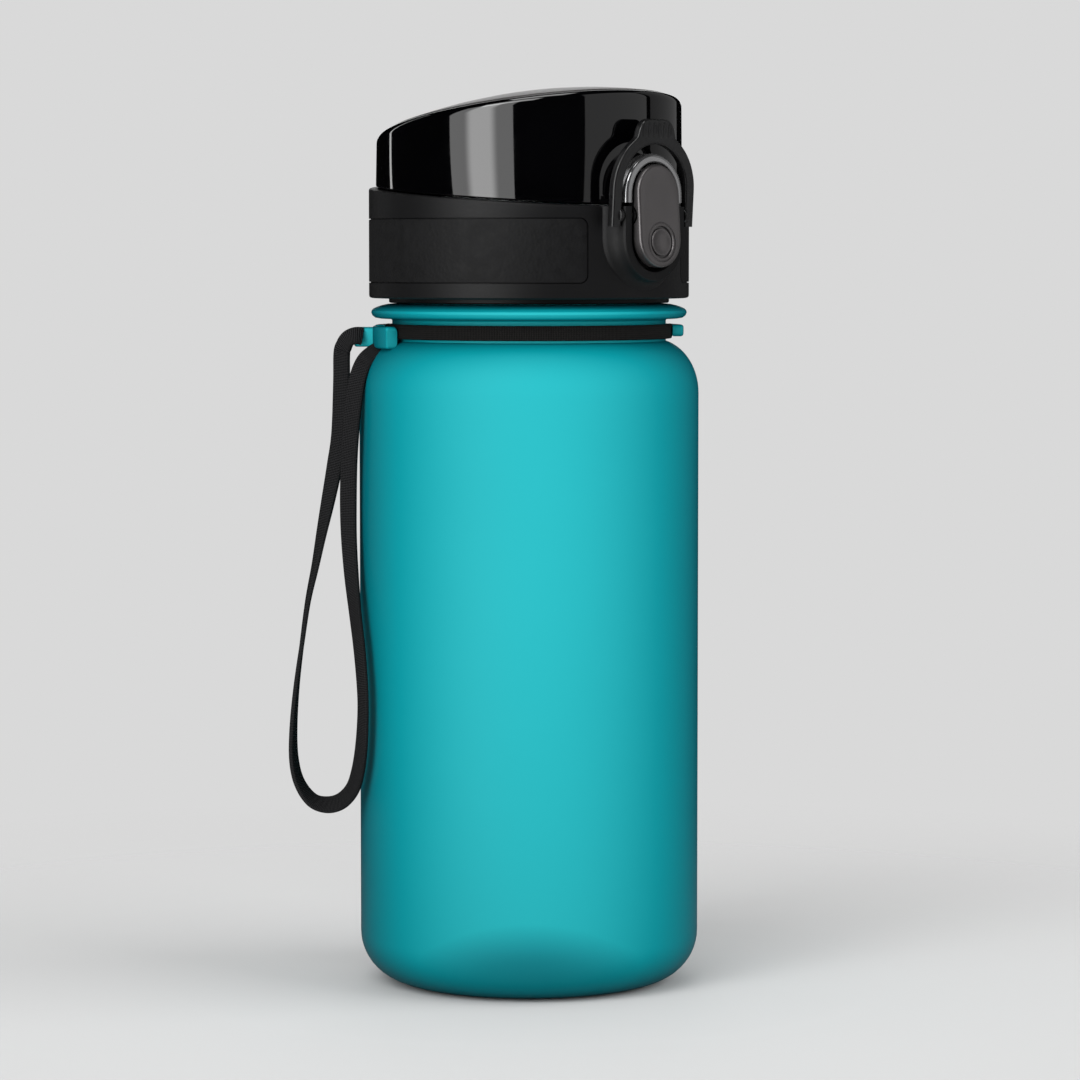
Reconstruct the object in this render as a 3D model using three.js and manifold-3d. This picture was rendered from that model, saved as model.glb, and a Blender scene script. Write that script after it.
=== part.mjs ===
// A small children's drinking bottle with a screw-on flip lid, a push button, a lock bail and a strap.
// Millimetres, +Z up. The origin is the centre of the foot. The button faces -Y, and the hinge is at +Y.
import * as THREE from 'three';
import { mergeVertices } from 'three/addons/utils/BufferGeometryUtils.js';
import Module from 'manifold-3d';

const wasm = await Module();
wasm.setup();

// Driving dimensions
const GAP = 0.3;
const RING_SEGMENTS = 40;
const RIGHT_ANGLE = Math.PI / 2;

const BODY_RADIUS = 32.5;
const WALL = 2;
const FOOT_INNER_RADIUS = 18.9;
const FOOT_OUTER_RADIUS = 22.9;
const BASE_CORNER = BODY_RADIUS - FOOT_OUTER_RADIUS;
const BASE_DOME_HEIGHT = 6;
const SIDE_TOP = 113.2;
const SHOULDER_CENTRE_RADIUS = 24;
const SHOULDER_RISE = 10.3;
const NECK_RADIUS = 26.2;
const FLANGE_RADIUS = 30.2;
const FLANGE_BOTTOM = 127.5;
const FLANGE_TOP = 130.2;
const THREADED_NECK_RADIUS = 23.2;
const BORE_RADIUS = 21;
const NECK_TOP = 145;

const THREAD_LEAD = 4;
const THREAD_TURNS = 1.25;
const THREAD_SEGMENTS = 45;
const MALE_THREAD_START = 134;

const BAND_RADIUS = 26.5;
const BAND_THICKNESS = 0.9;
const HOOK_SLOT_RADIUS = 27.7;
const HOOK_RING_RADIUS = 29.6;
const HOOK_RING_BOTTOM = 124;
const HOOK_RING_TOP = 126.5;
const LUG_DIRECTION = THREE.MathUtils.degToRad(135);
const LUG_BOTTOM = 121.6;
const LUG_TOP = 126.2;
const LUG_REACH = 33.4;
const EYE_HALF_WIDTH = 3.1;
const EYE_SIDE = 1.2;
const EYE_BAR = 1.3;
const STRAP_WIDTH = 3.6;
const STRAP_STEPS = 60;

const COLLAR_RADIUS = 30.6;
const COLLAR_INNER_RADIUS = 28.6;
const COLLAR_BOTTOM = 131.3;
const RIM_HEIGHT = 150.7;
const RIM_SLOPE = Math.atan(2.26 / COLLAR_RADIUS);
const GRIP_BOTTOM = 134.2;
const GRIP_TOP = 146.4;
const GRIP_SEAT_RADIUS = 29.6;
const GRIP_END_ANGLE = THREE.MathUtils.degToRad(24);

const SKIRT_RADIUS = 26.8;
const SKIRT_INNER_RADIUS = 24.7;
const DECK_BOTTOM = 146.6;
const DECK_TOP = 148.1;
const DECK_HOLE_RADIUS = 11.5;

const SPOUT_RADIUS = 15;
const SPOUT_BORE_RADIUS = 13;
const SPOUT_TOP = 157;
const SPOUT_FLANGE_RADIUS = 17.2;
const SPOUT_GASKET_RADIUS = 16.6;

const CAP_RADIUS = 29.3;
const CAP_TOP_RADIUS = 29;
const CAP_WALL = 1.8;
const CAP_EDGE_HEIGHT = 165.3;
const CAP_TILT = -Math.atan(4.9 / CAP_TOP_RADIUS);
const CAP_DOME_RISE = 4.3;
const CAP_CEILING = 2.4;
const SEAL_TOP = 159;
const SEAL_RADIUS = 14.8;
const PLUG_BOTTOM = 155.6;
const PLUG_RADIUS = 12.2;
const HOLDER_RADIUS = 13.2;
const LINER_RADIUS = 25.8;
const LINER_THICKNESS = 1.4;
const CATCH_HALF_WIDTH = 3;
const CATCH_LOW = 150.6;
const CATCH_HIGH = 152.2;
const PANEL_RADIUS = 27.6;
const PANEL_THICKNESS = 0.8;

const HINGE_Y = 31.5;
const HINGE_Z = 155;
const HINGE_RADIUS = 2.4;
const HINGE_PIN_RADIUS = 1;
const HINGE_HOLE_RADIUS = HINGE_PIN_RADIUS + GAP;
const EAR_INNER = 4.7;
const EAR_OUTER = 7;
const KNUCKLE_INNER = 2.3;
const KNUCKLE_OUTER = 4.4;

const HOUSING_FRONT = 33.2;
const HOUSING_RADIUS = 8.1;
const HOUSING_LOW = 142.7;
const HOUSING_SPLIT_LOW = 148.5;
const BEZEL_RADIUS = 7.7;
const BEZEL_CENTRE = 150.6;
const BEZEL_BACK = 29.9;
const BEZEL_BOTTOM = 149.2;
const POCKET_RADIUS = 6.1;
const POCKET_FLOOR = 29.5;

const PIVOT_Y = -32;
const PIVOT_Z = 146.8;
const PIVOT_PIN_RADIUS = 0.7;
const PIVOT_HOLE_RADIUS = PIVOT_PIN_RADIUS + GAP;

const BUTTON_RADIUS = 5.5;
const BUTTON_LOW = 142.7;
const BUTTON_HIGH = 150.8;
const DIMPLE_Z = 141.9;
const RING_OUTER = 3.5;
const RING_INNER = 2.6;

const BAIL_OUTER = 10.85;
const BAIL_INNER = 8.55;
const BAIL_ARCH = 151.5;
const BAIL_FOOT = 144.8;
const BAIL_TAB_TOP = 164.7;
const BAIL_TAB_HALF_WIDTH = 5;
const BAIL_BACK = 31.2;
const BAIL_FRONT = 32.8;
const BAIL_LEAN = THREE.MathUtils.degToRad(3.5);

// Materials
const TEAL = { color: 0x1fb0bb, roughness: 0.42, metalness: 0 };
const MATTE_BLACK = { color: 0x1d1d1f, roughness: 0.62, metalness: 0 };
const GRIP_BLACK = { color: 0x232325, roughness: 0.75, metalness: 0 };
const GLOSS_BLACK = { color: 0x08080a, roughness: 0.08, metalness: 0 };
const SATIN_BLACK = { color: 0x131316, roughness: 0.35, metalness: 0.1 };
const BUTTON_METAL = { color: 0x5d5b5c, roughness: 0.36, metalness: 0.75 };
const STEEL = { color: 0xb9bbbe, roughness: 0.3, metalness: 1 };
const SILICONE = { color: 0xd9dcdc, roughness: 0.55, metalness: 0 };
const CLEAR_WHITE = { color: 0xe4e8e8, roughness: 0.35, metalness: 0 };
const WEBBING = { color: 0x17171a, roughness: 0.9, metalness: 0 };

// Solids and their placement

// A closed three.js geometry as a solid that can be joined and cut.
function toSolid(geometry) {
  const bare = geometry.clone();
  bare.deleteAttribute('normal');
  bare.deleteAttribute('uv');
  const merged = mergeVertices(bare, 1e-4);
  const index = merged.index.array;
  const triangles = [];
  for (let i = 0; i < index.length; i += 3) {
    const [a, b, c] = [index[i], index[i + 1], index[i + 2]];
    if (a !== b && b !== c && c !== a) triangles.push(a, b, c);
  }
  return new wasm.Manifold(new wasm.Mesh({
    numProp: 3,
    vertProperties: new Float32Array(merged.attributes.position.array),
    triVerts: new Uint32Array(triangles),
  }));
}

function joined(first, ...others) {
  return others.reduce((solid, other) => solid.add(other), first);
}

function cut(first, ...others) {
  return others.reduce((solid, other) => solid.subtract(other), first);
}

// A solid of revolution about Z from [radius, height] points. The angle starts at -Y and turns towards +X.
function turned(points, segments = RING_SEGMENTS) {
  const profile = points.map(([radius, height]) => new THREE.Vector2(radius, height));
  return toSolid(new THREE.LatheGeometry(profile, segments).rotateX(RIGHT_ANGLE));
}

function turnedRing(points, segments = RING_SEGMENTS) {
  return turned([...points, points[0]], segments);
}

function ring(inner, outer, low, high, segments = RING_SEGMENTS) {
  return turnedRing([[inner, low], [outer, low], [outer, high], [inner, high]], segments);
}

function disc(radius, low, high, segments = RING_SEGMENTS) {
  return turned([[0, low], [radius, low], [radius, high], [0, high]], segments);
}

function arcPoints(centre, radiusAcross, radiusUp, from, to, steps) {
  return Array.from({ length: steps + 1 }, (_, i) => {
    const angle = from + ((to - from) * i) / steps;
    return [centre[0] + radiusAcross * Math.cos(angle), centre[1] + radiusUp * Math.sin(angle)];
  });
}

function box(x, y, z) {
  const geometry = new THREE.BoxGeometry(x[1] - x[0], y[1] - y[0], z[1] - z[0]);
  return toSolid(geometry.translate((x[0] + x[1]) / 2, (y[0] + y[1]) / 2, (z[0] + z[1]) / 2));
}

function rodAcross(y, z, radius, fromX, toX, sides = 16) {
  const geometry = new THREE.CylinderGeometry(radius, radius, toX - fromX, sides);
  return toSolid(geometry.rotateZ(RIGHT_ANGLE).translate((fromX + toX) / 2, y, z));
}

// A shape drawn in x and z, extruded forwards (towards -Y) between two distances from the axis.
function forwards(shape, near, far, curveSegments = 7) {
  const options = { depth: far - near, bevelEnabled: false, curveSegments };
  const geometry = new THREE.ExtrudeGeometry(shape, options);
  return toSolid(geometry.translate(0, 0, near).rotateX(RIGHT_ANGLE));
}

// A shape drawn in x and y, extruded upwards between two heights.
function upwards(shape, low, high, curveSegments = 12) {
  const options = { depth: high - low, bevelEnabled: false, curveSegments };
  return toSolid(new THREE.ExtrudeGeometry(shape, options).translate(0, 0, low));
}

// A shape drawn in y and z, extruded along X between two places.
function across(shape, fromX, toX) {
  const geometry = new THREE.ExtrudeGeometry(shape, { depth: toX - fromX, bevelEnabled: false });
  geometry.translate(0, 0, fromX);
  const axes = [new THREE.Vector3(0, 1, 0), new THREE.Vector3(0, 0, 1), new THREE.Vector3(1, 0, 0)];
  return toSolid(geometry.applyMatrix4(new THREE.Matrix4().makeBasis(...axes)));
}

function polygon(points) {
  return new THREE.Shape(points.map(([x, y]) => new THREE.Vector2(x, y)));
}

// Turns a solid about an axis through a point, parallel to X.
function tiltedAt(solid, angle, y, z) {
  return solid.translate([0, -y, -z]).rotate([THREE.MathUtils.radToDeg(angle), 0, 0]).translate([0, y, z]);
}

// An upright slot outline: two half circles joined by straight sides.
function pill(radius, low, high) {
  const shape = new THREE.Shape();
  shape.absarc(0, low, radius, Math.PI, 2 * Math.PI);
  shape.absarc(0, high, radius, 0, Math.PI);
  return shape;
}

function ringSector(inner, outer, from, to) {
  const shape = new THREE.Shape();
  shape.absarc(0, 0, outer, from, to, false);
  shape.absarc(0, 0, inner, to, from, true);
  return shape;
}

// A screw thread's rib: a turned section that climbs with the angle and runs out to nothing at both ends.
function threadRib(rootRadius, crestRadius, startHeight) {
  const depth = crestRadius - rootRadius;
  const section = [[0, -0.8], [depth, -0.35], [depth, 0.35], [0, 0.8]];
  const profile = [...section, section[0]].map(([out, up]) => new THREE.Vector2(rootRadius + out, up));
  if (depth < 0) profile.reverse();
  const geometry = new THREE.LatheGeometry(profile, THREAD_SEGMENTS, 0, THREAD_TURNS * 2 * Math.PI);
  const position = geometry.attributes.position;
  const runOut = 0.06;
  for (let i = 0; i < position.count; i += 1) {
    const along = Math.floor(i / profile.length) / THREAD_SEGMENTS;
    const angle = along * THREAD_TURNS * 2 * Math.PI;
    const size = Math.min(1, along / runOut, (1 - along) / runOut);
    const radius = rootRadius + (Math.hypot(position.getX(i), position.getZ(i)) - rootRadius) * size;
    const height = position.getY(i) * size + startHeight + along * THREAD_TURNS * THREAD_LEAD;
    position.setXYZ(i, radius * Math.sin(angle), height, radius * Math.cos(angle));
  }
  return toSolid(geometry.rotateX(RIGHT_ANGLE));
}

// A round wire along a curve.
function wire(curve, radius, steps, sides) {
  const shape = new THREE.Shape();
  shape.absarc(0, 0, radius, 0, 2 * Math.PI);
  return new THREE.ExtrudeGeometry(shape, {
    steps,
    bevelEnabled: false,
    curveSegments: sides / 2,
    extrudePath: curve,
  });
}

const assembly = new THREE.Group();

function addGeometry(name, geometry, look) {
  const mesh = new THREE.Mesh(geometry, new THREE.MeshStandardMaterial(look));
  mesh.name = name;
  assembly.add(mesh);
}

function addSolid(name, solid, look) {
  const { vertProperties, triVerts } = solid.getMesh();
  const geometry = new THREE.BufferGeometry();
  geometry.setAttribute('position', new THREE.BufferAttribute(vertProperties, 3));
  geometry.setIndex(new THREE.BufferAttribute(triVerts, 1));
  geometry.computeVertexNormals();
  addGeometry(name, geometry, look);
}

// Bottle: a thin-walled vessel with a push-up base, a rounded shoulder, a neck flange and a male thread.
function bottleProfile() {
  const dome = (radius, rise, lift) => [radius, lift + rise * (1 - (radius / FOOT_INNER_RADIUS) ** 2)];
  const outerDome = [0, 8, 14, FOOT_INNER_RADIUS].map((r) => dome(r, BASE_DOME_HEIGHT, 0));
  const innerDome = [FOOT_INNER_RADIUS, 14, 8, 0].map((r) => dome(r, BASE_DOME_HEIGHT, WALL));
  const baseCentre = [FOOT_OUTER_RADIUS, BASE_CORNER];
  const baseInner = BASE_CORNER - WALL;
  const shoulderCentre = [SHOULDER_CENTRE_RADIUS, SIDE_TOP];
  const shoulderOut = BODY_RADIUS - SHOULDER_CENTRE_RADIUS;
  const neckAngle = Math.acos((NECK_RADIUS - SHOULDER_CENTRE_RADIUS) / shoulderOut);
  const innerRise = SHOULDER_RISE - WALL;
  return [
    ...outerDome,
    ...arcPoints(baseCentre, BASE_CORNER, BASE_CORNER, -RIGHT_ANGLE, 0, 5),
    ...arcPoints(shoulderCentre, shoulderOut, SHOULDER_RISE, 0, neckAngle, 5),
    [NECK_RADIUS, FLANGE_BOTTOM],
    [FLANGE_RADIUS - 0.9, FLANGE_BOTTOM],
    [FLANGE_RADIUS, FLANGE_BOTTOM + 0.8],
    [FLANGE_RADIUS, FLANGE_TOP - 0.8],
    [FLANGE_RADIUS - 0.9, FLANGE_TOP],
    [THREADED_NECK_RADIUS, FLANGE_TOP],
    [THREADED_NECK_RADIUS, NECK_TOP - 0.5],
    [THREADED_NECK_RADIUS - 0.5, NECK_TOP],
    [BORE_RADIUS + 0.4, NECK_TOP],
    [BORE_RADIUS, NECK_TOP - 0.4],
    [BORE_RADIUS, FLANGE_TOP + 1.3],
    [NECK_RADIUS - WALL, FLANGE_BOTTOM],
    ...arcPoints(shoulderCentre, shoulderOut - WALL, innerRise, RIGHT_ANGLE * 0.95, 0, 4),
    ...arcPoints(baseCentre, baseInner, baseInner, 0, -RIGHT_ANGLE, 4),
    ...innerDome,
  ];
}

// The open ring under the flange: its two free ends hook over the ends of the neck band.
function hookRing() {
  const degrees = THREE.MathUtils.degToRad;
  const [from, to] = [degrees(-53), degrees(143)];
  const slotLength = degrees(11.5);
  const bar = upwards(ringSector(NECK_RADIUS - 0.3, HOOK_RING_RADIUS, from, to), HOOK_RING_BOTTOM,
    HOOK_RING_TOP, 16);
  const slot = (start) => upwards(
    ringSector(NECK_RADIUS, HOOK_SLOT_RADIUS, start, start + slotLength + degrees(1)),
    LUG_BOTTOM, LUG_TOP + 2);
  return cut(bar, slot(from - degrees(1)), slot(to - slotLength));
}

// The strap lug: a curved plate over the band's end, with an eye that stands out from it.
function strapLug() {
  const plateFrom = LUG_DIRECTION - THREE.MathUtils.degToRad(10);
  const plateTo = LUG_DIRECTION + THREE.MathUtils.degToRad(28.5);
  const plate = upwards(ringSector(HOOK_SLOT_RADIUS + 0.1, HOOK_RING_RADIUS + 0.4,
    plateFrom, plateTo), LUG_BOTTOM, LUG_TOP);
  const eyeInner = HOOK_RING_RADIUS + 0.3;
  const eyeOuter = LUG_REACH - EYE_BAR;
  const eyeBlock = box([HOOK_RING_RADIUS - 0.6, LUG_REACH], [-EYE_HALF_WIDTH, EYE_HALF_WIDTH],
    [LUG_BOTTOM + 0.8, LUG_TOP - 0.8]);
  const eyeHole = box([eyeInner, eyeOuter], [EYE_SIDE - EYE_HALF_WIDTH, EYE_HALF_WIDTH - EYE_SIDE],
    [LUG_BOTTOM - 1, LUG_TOP + 1]);
  const eye = cut(eyeBlock, eyeHole).rotate([0, 0, THREE.MathUtils.radToDeg(LUG_DIRECTION)]);
  return joined(plate, eye);
}

function addBottle() {
  const thread = threadRib(THREADED_NECK_RADIUS - 0.2, THREADED_NECK_RADIUS + 1, MALE_THREAD_START);
  addSolid('bottle_body', joined(turned(bottleProfile()), thread, hookRing(), strapLug()), TEAL);

  const degrees = THREE.MathUtils.degToRad;
  const band = ringSector(BAND_RADIUS, BAND_RADIUS + BAND_THICKNESS, degrees(134.5), degrees(315.5));
  addSolid('neck_band', upwards(band, 123.6, 126.4, 18), WEBBING);
}

// Carry strap: a loop of webbing that hangs from the lug, as [outwards, sideways, height] along the lug's
// own direction. It leaves over the lug's outer bar and comes back up to the shoulder under the lug.
const STRAP_ROUTE = [
  [33.8, 0, 125], [35.4, 0, 124.6], [36.5, 0, 123.2], [36.6, 0, 120.8], [36.1, 0.1, 115],
  [36.2, 0.3, 105.3], [37.4, 0.6, 99], [38.7, 1, 92.7], [39.8, 1.4, 86.3], [41, 1.9, 80],
  [42.4, 2.5, 73.3], [43.5, 3, 65.6], [44.6, 3.6, 57], [45.2, 4.2, 49], [45.1, 4.8, 43],
  [44, 5.6, 38.6], [41.6, 6.4, 35.4], [38.6, 7.6, 34.6], [35.8, 9.6, 35.6], [33.6, 11.8, 38.2],
  [32.4, 13.6, 42], [31.7, 14.9, 47], [31.4, 15.3, 53], [31.5, 15.1, 58], [32.1, 13.7, 65],
  [33, 11.4, 72], [33.9, 9, 79], [34.4, 7.4, 86], [34.1, 7.8, 93], [33.4, 9.6, 100],
  [32.8, 11.2, 106], [32.5, 11.8, 111], [32.2, 11.3, 116], [31.6, 10.2, 119], [31.1, 8.6, 120.6],
];

function addStrap() {
  const out = new THREE.Vector3(Math.cos(LUG_DIRECTION), Math.sin(LUG_DIRECTION), 0);
  const side = new THREE.Vector3(-out.y, out.x, 0);
  const points = STRAP_ROUTE.map(([outwards, sideways, height]) => new THREE.Vector3(0, 0, height)
    .addScaledVector(out, outwards)
    .addScaledVector(side, sideways));
  const curve = new THREE.CatmullRomCurve3(points, false, 'centripetal');
  addGeometry('strap_loop', wire(curve, STRAP_WIDTH / 2, STRAP_STEPS, 8), WEBBING);
}

// Lid base: a collar with the button's housing and the hinge ears, and a threaded core under a deck.

// Everything above a plane that slopes up towards the hinge, at the given height on the axis.
function aboveRim(height) {
  return tiltedAt(box([-60, 60], [-60, 60], [height, height + 60]), RIM_SLOPE, 0, height);
}

function buttonHousing() {
  const outline = pill(HOUSING_RADIUS, HOUSING_LOW, BEZEL_CENTRE);
  const boss = forwards(outline, COLLAR_INNER_RADIUS + 0.6, HOUSING_FRONT);
  return cut(boss, box([-12, 12], [-40, -20], [HOUSING_SPLIT_LOW, 170]));
}

function hingeEar(fromX, toX) {
  const foot = polygon([[29, 147.5], [30.4, 147.5], [HINGE_Y + HINGE_RADIUS, 153.5],
    [HINGE_Y + HINGE_RADIUS, HINGE_Z], [29, HINGE_Z]]);
  return joined(across(foot, fromX, toX), rodAcross(HINGE_Y, HINGE_Z, HINGE_RADIUS, fromX, toX, 16));
}

function addCollar() {
  const shell = turnedRing([
    [SKIRT_RADIUS + 0.4, COLLAR_BOTTOM],
    [COLLAR_RADIUS - 0.4, COLLAR_BOTTOM],
    [COLLAR_RADIUS, COLLAR_BOTTOM + 0.4],
    [COLLAR_RADIUS, 156],
    [COLLAR_INNER_RADIUS, 156],
    [COLLAR_INNER_RADIUS, COLLAR_BOTTOM + 1.5],
    [SKIRT_RADIUS + 0.4, COLLAR_BOTTOM + 1.5],
  ]);
  const gripSeat = upwards(
    ringSector(GRIP_SEAT_RADIUS, COLLAR_RADIUS + 1, gripStart(0), gripEnd(0)), GRIP_BOTTOM, GRIP_TOP, 18);
  const knuckleNotch = box([-EAR_INNER, EAR_INNER], [26, 34], [HINGE_Z - 3.1, HINGE_Z + 5]);
  const ears = joined(hingeEar(EAR_INNER, EAR_OUTER), hingeEar(-EAR_OUTER, -EAR_INNER));
  const pocket = forwards(pill(POCKET_RADIUS, HOUSING_LOW - 0.1, 160), POCKET_FLOOR, HOUSING_FRONT + 1);
  const collar = cut(
    joined(cut(shell, aboveRim(RIM_HEIGHT), gripSeat), buttonHousing(), ears),
    pocket,
    knuckleNotch,
    rodAcross(PIVOT_Y, PIVOT_Z, PIVOT_HOLE_RADIUS, -12, 12),
    rodAcross(HINGE_Y, HINGE_Z, HINGE_HOLE_RADIUS, -12, 12),
  );
  addSolid('collar_shell', collar, MATTE_BLACK);
}

// The grip band leaves the front free, on both sides of the button. The angles are from +X.
function gripStart(inset) {
  return -RIGHT_ANGLE + GRIP_END_ANGLE + inset;
}

function gripEnd(inset) {
  return 1.5 * Math.PI - GRIP_END_ANGLE - inset;
}

function addGripBand() {
  const inset = 0.01;
  const band = ringSector(GRIP_SEAT_RADIUS + GAP, COLLAR_RADIUS, gripStart(inset), gripEnd(inset));
  addSolid('grip_band', upwards(band, GRIP_BOTTOM + GAP, GRIP_TOP - GAP, 18), GRIP_BLACK);
}

function addLidCore() {
  const cup = turnedRing([
    [SKIRT_INNER_RADIUS, FLANGE_TOP + GAP],
    [SKIRT_RADIUS, FLANGE_TOP + GAP],
    [SKIRT_RADIUS, DECK_BOTTOM - 1],
    [COLLAR_INNER_RADIUS - 0.4, DECK_BOTTOM],
    [COLLAR_INNER_RADIUS - 0.4, DECK_TOP],
    [DECK_HOLE_RADIUS, DECK_TOP],
    [DECK_HOLE_RADIUS, DECK_BOTTOM],
    [SKIRT_INNER_RADIUS, DECK_BOTTOM],
  ]);
  const start = MALE_THREAD_START - THREAD_LEAD / 2;
  const thread = threadRib(SKIRT_INNER_RADIUS + 0.2, THREADED_NECK_RADIUS + GAP, start);
  addSolid('lid_core', joined(cup, thread), MATTE_BLACK);
}

function addSeals() {
  addSolid('neck_gasket', ring(BORE_RADIUS + 0.4, SKIRT_INNER_RADIUS - 0.4, NECK_TOP + GAP,
    DECK_BOTTOM - GAP), SILICONE);
  addSolid('spout_gasket', ring(SPOUT_BORE_RADIUS + 0.5, SPOUT_GASKET_RADIUS, DECK_TOP + GAP,
    DECK_TOP + 1), SILICONE);
}

function addSpout() {
  const flangeBottom = DECK_TOP + 1 + GAP;
  const spout = turnedRing([
    [SPOUT_BORE_RADIUS, flangeBottom],
    [SPOUT_FLANGE_RADIUS, flangeBottom],
    [SPOUT_FLANGE_RADIUS, flangeBottom + 1.2],
    [SPOUT_RADIUS + 0.4, flangeBottom + 1.6],
    [SPOUT_RADIUS, SPOUT_TOP - 0.8],
    [SPOUT_RADIUS - 0.7, SPOUT_TOP],
    [SPOUT_BORE_RADIUS + 0.5, SPOUT_TOP],
    [SPOUT_BORE_RADIUS, SPOUT_TOP - 0.6],
  ]);
  addSolid('spout', spout, CLEAR_WHITE);
}

// Cap: a gloss shell with a tilted, domed top, an inset top panel, and a liner that holds the seal.

// The space inside a radius and under the cap's domed top, lowered by a drop.
function underCapTop(radius, drop) {
  const reach = 36;
  const dome = (r) => [r, CAP_DOME_RISE * (1 - (r / CAP_TOP_RADIUS) ** 2)];
  const radii = [reach, 27, 18, 9, 0];
  const profile = [[0, -60], [reach, -60], ...radii.map(dome)];
  const top = tiltedAt(turned(profile), CAP_TILT, 0, 0).translate([0, 0, CAP_EDGE_HEIGHT - drop]);
  return top.intersect(turned([[0, 145], [radius, 145], [radius - 0.3, 175], [0, 175]]));
}

function capKnuckle(fromX, toX) {
  const web = polygon([[28.4, HINGE_Z], [HINGE_Y, HINGE_Z], [HINGE_Y, HINGE_Z + HINGE_RADIUS],
    [28.4, HINGE_Z + HINGE_RADIUS]]);
  return joined(across(web, fromX, toX), rodAcross(HINGE_Y, HINGE_Z, HINGE_RADIUS, fromX, toX, 16));
}

function addCapShell() {
  const outer = underCapTop(CAP_RADIUS, 0);
  const panelSeat = cut(underCapTop(PANEL_RADIUS + GAP, -1), underCapTop(40, PANEL_THICKNESS + GAP));
  const belowSkirt = tiltedAt(box([-60, 60], [-60, 60], [80, RIM_HEIGHT + GAP]), RIM_SLOPE, 0, RIM_HEIGHT);
  const catchLug = box([-CATCH_HALF_WIDTH, CATCH_HALF_WIDTH], [-30.3, -28.4], [CATCH_LOW, CATCH_HIGH]);
  const hollow = underCapTop(CAP_RADIUS - CAP_WALL, CAP_CEILING);
  const rightKnuckle = capKnuckle(KNUCKLE_INNER, KNUCKLE_OUTER);
  const knuckles = joined(rightKnuckle, capKnuckle(-KNUCKLE_OUTER, -KNUCKLE_INNER));
  const shell = joined(cut(outer, belowSkirt, panelSeat), knuckles, catchLug);
  const pinHole = rodAcross(HINGE_Y, HINGE_Z, HINGE_HOLE_RADIUS, -12, 12);
  addSolid('cap_shell', cut(shell, hollow, pinHole), GLOSS_BLACK);
}

function addCapTop() {
  const panel = cut(underCapTop(PANEL_RADIUS, 0), underCapTop(40, PANEL_THICKNESS));
  addSolid('cap_top', panel, SATIN_BLACK);
}

function addCapLiner() {
  const plateTop = -CAP_CEILING + 0.5;
  const tilted = (radius, low) => tiltedAt(disc(radius, low, plateTop), CAP_TILT, 0, 0)
    .translate([0, 0, CAP_EDGE_HEIGHT]);
  const holder = disc(HOLDER_RADIUS, SEAL_TOP + GAP, 175, 32).intersect(tilted(LINER_RADIUS, -30));
  addSolid('cap_liner', joined(tilted(LINER_RADIUS, plateTop - LINER_THICKNESS), holder), MATTE_BLACK);
}

function addCapSeal() {
  const restsAt = SPOUT_TOP + GAP;
  const seal = turned([[0, PLUG_BOTTOM], [PLUG_RADIUS - 0.9, PLUG_BOTTOM], [PLUG_RADIUS, restsAt],
    [SEAL_RADIUS, restsAt], [SEAL_RADIUS, SEAL_TOP], [0, SEAL_TOP]]);
  addSolid('cap_seal', seal, SILICONE);
}

// Hinge hardware
class TorsionCoil extends THREE.Curve {
  // Two straight legs joined by a coil about the hinge's axis: one leg forwards, one leg down.
  getPoint(t) {
    const [turns, radius, halfLength, leg] = [4.25, 1.8, 1.65, 1.5];
    const along = THREE.MathUtils.clamp((t - 0.06) / 0.88, 0, 1);
    const angle = -RIGHT_ANGLE + along * turns * 2 * Math.PI;
    const x = -halfLength + 2 * halfLength * along;
    const start = t < 0.06 ? (0.06 - t) / 0.06 : 0;
    const end = t > 0.94 ? (t - 0.94) / 0.06 : 0;
    const y = HINGE_Y + radius * Math.cos(angle) - leg * start;
    const z = HINGE_Z + radius * Math.sin(angle) - leg * end;
    return new THREE.Vector3(x, y, z);
  }
}

function addHinge() {
  const pinEnd = EAR_OUTER - 0.1;
  addSolid('hinge_pin', rodAcross(HINGE_Y, HINGE_Z, HINGE_PIN_RADIUS, -pinEnd, pinEnd), STEEL);
  addGeometry('cap_spring', wire(new TorsionCoil(), 0.25, 52, 4), STEEL);
}

// Button group: the bezel, the face, the latch lever behind it, its spring and the shared pivot pin.
function addBezel() {
  const bezel = cut(
    forwards(pill(BEZEL_RADIUS, HOUSING_LOW, BEZEL_CENTRE), BEZEL_BACK, HOUSING_FRONT),
    forwards(pill(POCKET_RADIUS, HOUSING_LOW, BUTTON_HIGH), BEZEL_BACK - 1, HOUSING_FRONT + 1),
    box([-12, 12], [-40, -20], [130, BEZEL_BOTTOM]),
    box([-3.5, 3.5], [-31, -20], [BEZEL_BOTTOM - 1, 165]),
  );
  addSolid('button_bezel', bezel, GLOSS_BLACK);
}

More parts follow.
